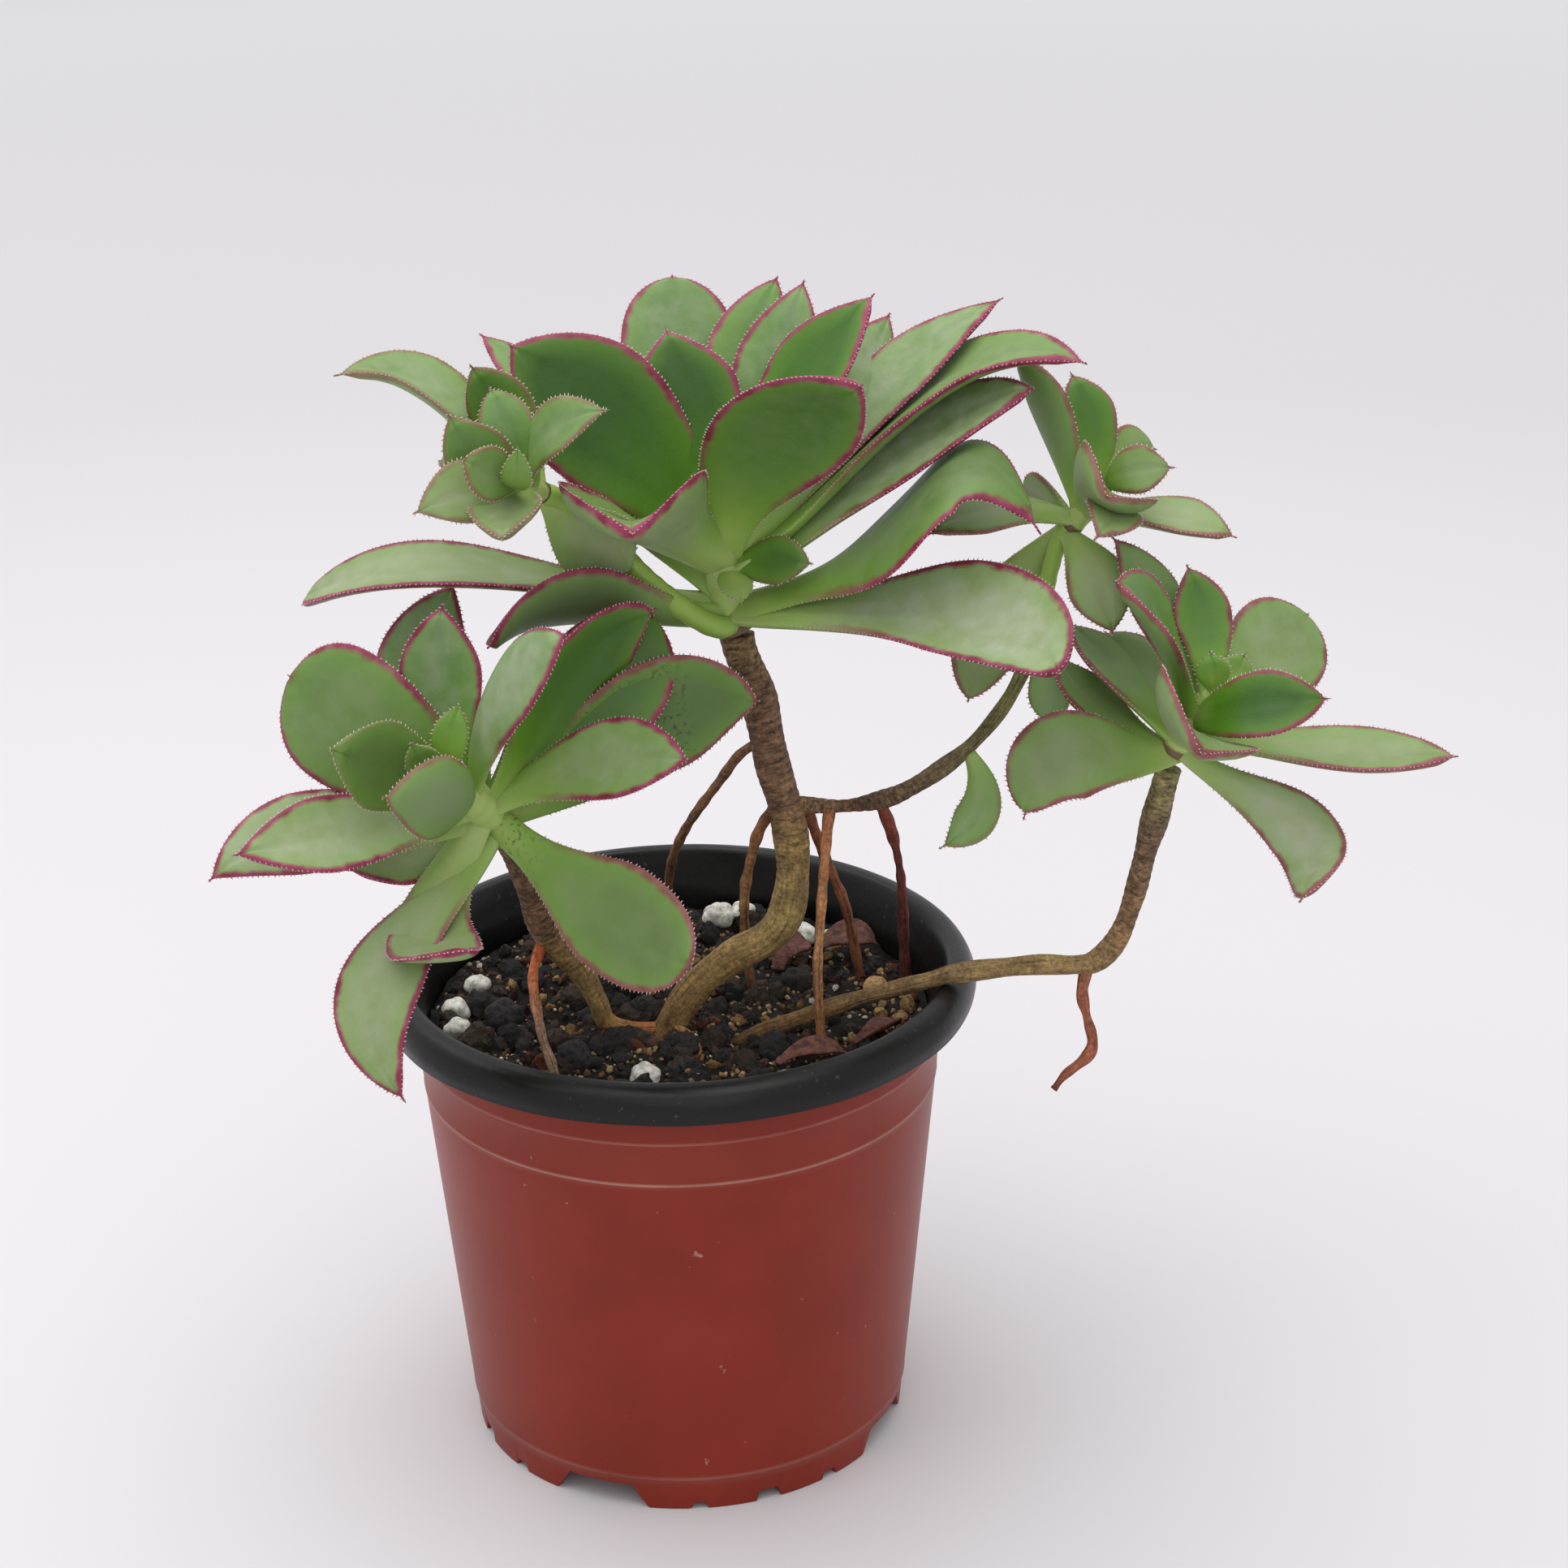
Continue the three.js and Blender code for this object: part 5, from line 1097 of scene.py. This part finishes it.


# The greens run from a pale seat, the leaf's own colour, to full green; the bright yellow-green just above
# the seat is a painted glow of light through the thin flesh.
leaf_flesh = leaf_material(
    "living_leaf_flesh", "bac880 8aae3e 568322 45721c", "c4cc94 a0b466 90a25e 86955c",
)
for name, node, foot, heart, crown, stalk, leaves in HEADS:
    heart, crown = np.array(heart), np.array(crown)
    stalk_line = ((0, 1), (0.5, 1), (0.9, 0.7))
    route = [(*(heart + (crown - heart) * share), stalk * slim) for share, slim in stalk_line]
    if foot:
        route = [(*foot, stalk)] + route
    head_parts = [green_stem(route, STALK_SIDES, STALK_TONE, TRUNK_BARK if foot else BRANCH_BARK)]
    if name in SHOOTS:
        head_parts.append(green_stem(SHOOTS[name], SHOOT_SIDES, SHOOT_TONE))
    for number, leaf in enumerate(leaves):
        seat = heart + (crown - heart) * leaf[0]
        specks = SPECKLED.get((name, number), (2, 2))
        tone = TONES[name].get(number)
        flush = FLUSH[name] * GREEN_HEMS.get((name, number), 1)
        head_parts += fleshy_blade(seat, leaf, 1.7 * number, flush=flush, specks=specks, tone=tone)
    if name == "rosette_main":
        head_parts += fleshy_blade(SHOOT_LEAF_SEAT, SHOOT_LEAF, 0.4, flush=0.1)
    head_piece = put_mesh(name, head_parts, leaf_flesh)
    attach(head_piece, "root")
    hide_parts(node)

# Hanging leaves
# Two single leaves, younger and paler, that hang from the high right branch by their narrow seats.
HANGING_LEAVES = [
    ((51.2, -2.3, 127.6), (0, -122, -58, 16.4, 0.82, -1.2, 2.2, 8.2, -4, 8, 0.2, 0, 0.6)),
    ((63.4, 2, 147), (0, -62, -76, 15, 0.6, 1, 0, 7.5, 50, 20, 0.4, 0)),
]
pale_flesh = leaf_material("pale_leaf_flesh", "a9bc6c 8fae58 7fa64f 6f9a48", "b5c480 98b265 84a659 79a052")
for number, (seat, leaf) in enumerate(HANGING_LEAVES):
    blade = fleshy_blade(seat, leaf, 2.0 * number, flush=0.35)
    hanging = put_mesh(f"single_leaf_{number + 1}", blade, pale_flesh)
    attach(hanging, "root")
    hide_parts(f"hanging_leaf_{number + 1}")

# Loose grains
# White popcorn-like perlite, a tan pumice pebble and black porous lava lumps, lying half sunk on the soil.
PERLITE = [
    (6.6, 35.4, 80.6, 2.8), (11.2, 37.2, 80.2, 2.4), (22.6, 27.6, 80, 2.6), (27.2, 25.2, 79.8, 2.1),
    (-39.4, -1.4, 79.8, 2.4), (-38.6, -8.6, 79.6, 2.3), (-36.4, 8.4, 79.8, 2.2), (-5.2, -27.6, 79.8, 2.4),
    (14, -32.4, 79.8, 2.1), (18.6, -30, 79.6, 1.9), (-0.2, -36, 79.6, 1.8),
]
PUMICE = [(35, 5, 79.8, 2.4)]
SCORIA = [(-31, -4.4, 80, 3.4), (-17.4, -21, 80, 3.2), (-9, -33.4, 79.6, 3), (23, -33, 79.6, 2.6)]


def lumpy_ball(x, y, z, radius, knobs, rise):
    """A popped grain: at a direction d the radius is one plus the rise times the nearest knob's
    exp(6 (d . knob - 1))."""
    corners, faces = ball(4)
    directions = unit(draw.normal(size=(knobs, 3)))
    nearest = np.exp(6 * (corners @ directions.T - 1)).max(axis=1)
    distance = radius * (1 - 0.45 * rise + rise * nearest)
    return (corners * distance[:, None] * (1, 1, 0.85) + (x, y, z), [faces], {})


def grain_material(name, low, high, roughness, scale, depth, detail=4, roughening=0.6, stops=(0.36, 0.58)):
    """A dull dry thing with a pitted skin: pits are small and dark, between a lighter and a darker tone."""
    material, place = new_material(name)
    pits = add_node(material, "TexNoise", {
        "Vector": place, "Scale": scale, "Detail": detail, "Roughness": roughening,
    })
    tones = [(stops[0], linear(low)), (stops[1], linear(high))]
    finish_material(material, {
        "Base Color": add_node(material, "ValToRGB", {"Fac": pits}, tones), "Roughness": roughness,
        "Normal": add_node(material, "Bump", {"Height": pits, "Strength": 0.8, "Distance": depth}),
    })
    return material


perlite_skin = grain_material("expanded_perlite", "b9b2a4", "efece4", 0.85, 900, 0.0004)
pumice_skin = grain_material("tan_pumice", "8a6a44", "c19a68", 0.88, 1200, 0.0004)
scoria_skin = grain_material("black_scoria", "121012", "353033", 0.9, 1100, 0.0007)
for node, places, skin, slot, knobs, rise in (
    ("perlite", PERLITE, perlite_skin, "perlite", 16, 0.3),
    ("pumice", PUMICE, pumice_skin, "pumice", 9, 0.14),
    ("scoria", SCORIA, scoria_skin, "scoria", 12, 0.28),
):
    for number, where in enumerate(places):
        grain = put_mesh(f"{node}_grain_{number + 1}", [lumpy_ball(*where, knobs, rise)], skin)
        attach(grain, "root")
        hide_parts(f"{node}_{number + 1}")

# Dried leaves
# Fallen leaves of the plant, shrunk to thin reddish-brown husks that curl up on the soil.
DRIED_THINNESS = 0.85
DRIED_LEAVES = [
    ((24.6, 19.4, 80.2), (0, 2, 8, 11, 0.5, 2, 1, 7, 20, 34, 0.3, 0)),
    ((17.4, -25, 80.2), (0, 14, 3, 12, 0.5, 1.2, 1.5, 5, 15, 34, 0, 0)),
    ((30.6, -17.4, 80.2), (0, 40, 5, 10, 0.5, 1.4, -1, 6, -15, 34, 0.4, 0)),
    ((17.6, 12, 80.2), (0, 60, 6, 11, 0.5, 2, 1, 7.5, 25, 34, 0.4, 0)),
]
husk = grain_material("dried_leaf_husk", "3a1d18", "7d4a3a", 0.7, 700, 0.0008, 5, 0.65, (0.35, 0.65))
for number, (seat, leaf) in enumerate(DRIED_LEAVES):
    blade = fleshy_blade(seat, leaf, number, DRIED_THINNESS, teeth=False)
    dried = put_mesh(f"fallen_leaf_{number + 1}", blade, husk)
    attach(dried, "root")
    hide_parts(f"dried_leaf_{number + 1}")

# Floor and light
# A plain pale floor, a little lighter further off, with a large soft light overhead, a weaker one in front
# and a pale sky all round, so that shadows stay faint.
FLOOR_REACH = 6000
floor_paper, place = new_material("plain_pale_floor")
away = add_node(floor_paper, "VectorMath", {0: place}, out="Value", operation="LENGTH")
share = add_node(floor_paper, "MapRange", {"Value": away, 1: 0.7, 2: 1.5})
finish_material(floor_paper, {
    "Base Color": add_node(
        floor_paper, "Mix", {0: share, 6: linear("d8d5d7"), 7: linear("f6f5f8")}, out=2, data_type="RGBA",
    ),
    "Roughness": 0.9, "Specular IOR Level": 0.1,
})
corners = np.array([(-1, -1, 0), (1, -1, 0), (1, 1, 0), (-1, 1, 0)]) * FLOOR_REACH
floor = put_mesh("floor", [(corners, [np.array([[0, 1, 2, 3]])], {})], floor_paper)

world = bpy.data.worlds.new("soft_sky")
world.use_nodes = True
world.node_tree.nodes["Background"].inputs["Color"].default_value = linear("f3f3f6")
world.node_tree.nodes["Background"].inputs["Strength"].default_value = 0.8
bpy.context.scene.world = world
# Each light: place (m), aim (m), width (m) and power (W)
LIGHTS = [
    ((-0.12, 0.06, 0.95), (0, 0, 0.1), 1.2, 8),
    ((0.1, -1.0, 0.75), (0, 0, 0.12), 0.9, 1.8),
]
for number, (spot, aim, width, power) in enumerate(LIGHTS):
    light = bpy.data.lights.new(f"soft_light_{number + 1}", "AREA")
    light.size = width
    light.energy = power
    lamp = bpy.data.objects.new(light.name, light)
    back = unit(np.array(spot) - np.array(aim))
    sideways = unit(np.cross((0.01, 1, 0.02), back))
    turn = np.eye(4)
    turn[:3, 0], turn[:3, 1], turn[:3, 2], turn[:3, 3] = sideways, np.cross(back, sideways), back, spot
    lamp.matrix_world = Matrix(turn.tolist())
    bpy.context.scene.collection.objects.link(lamp)
bpy.context.scene.view_settings.view_transform = "Standard"
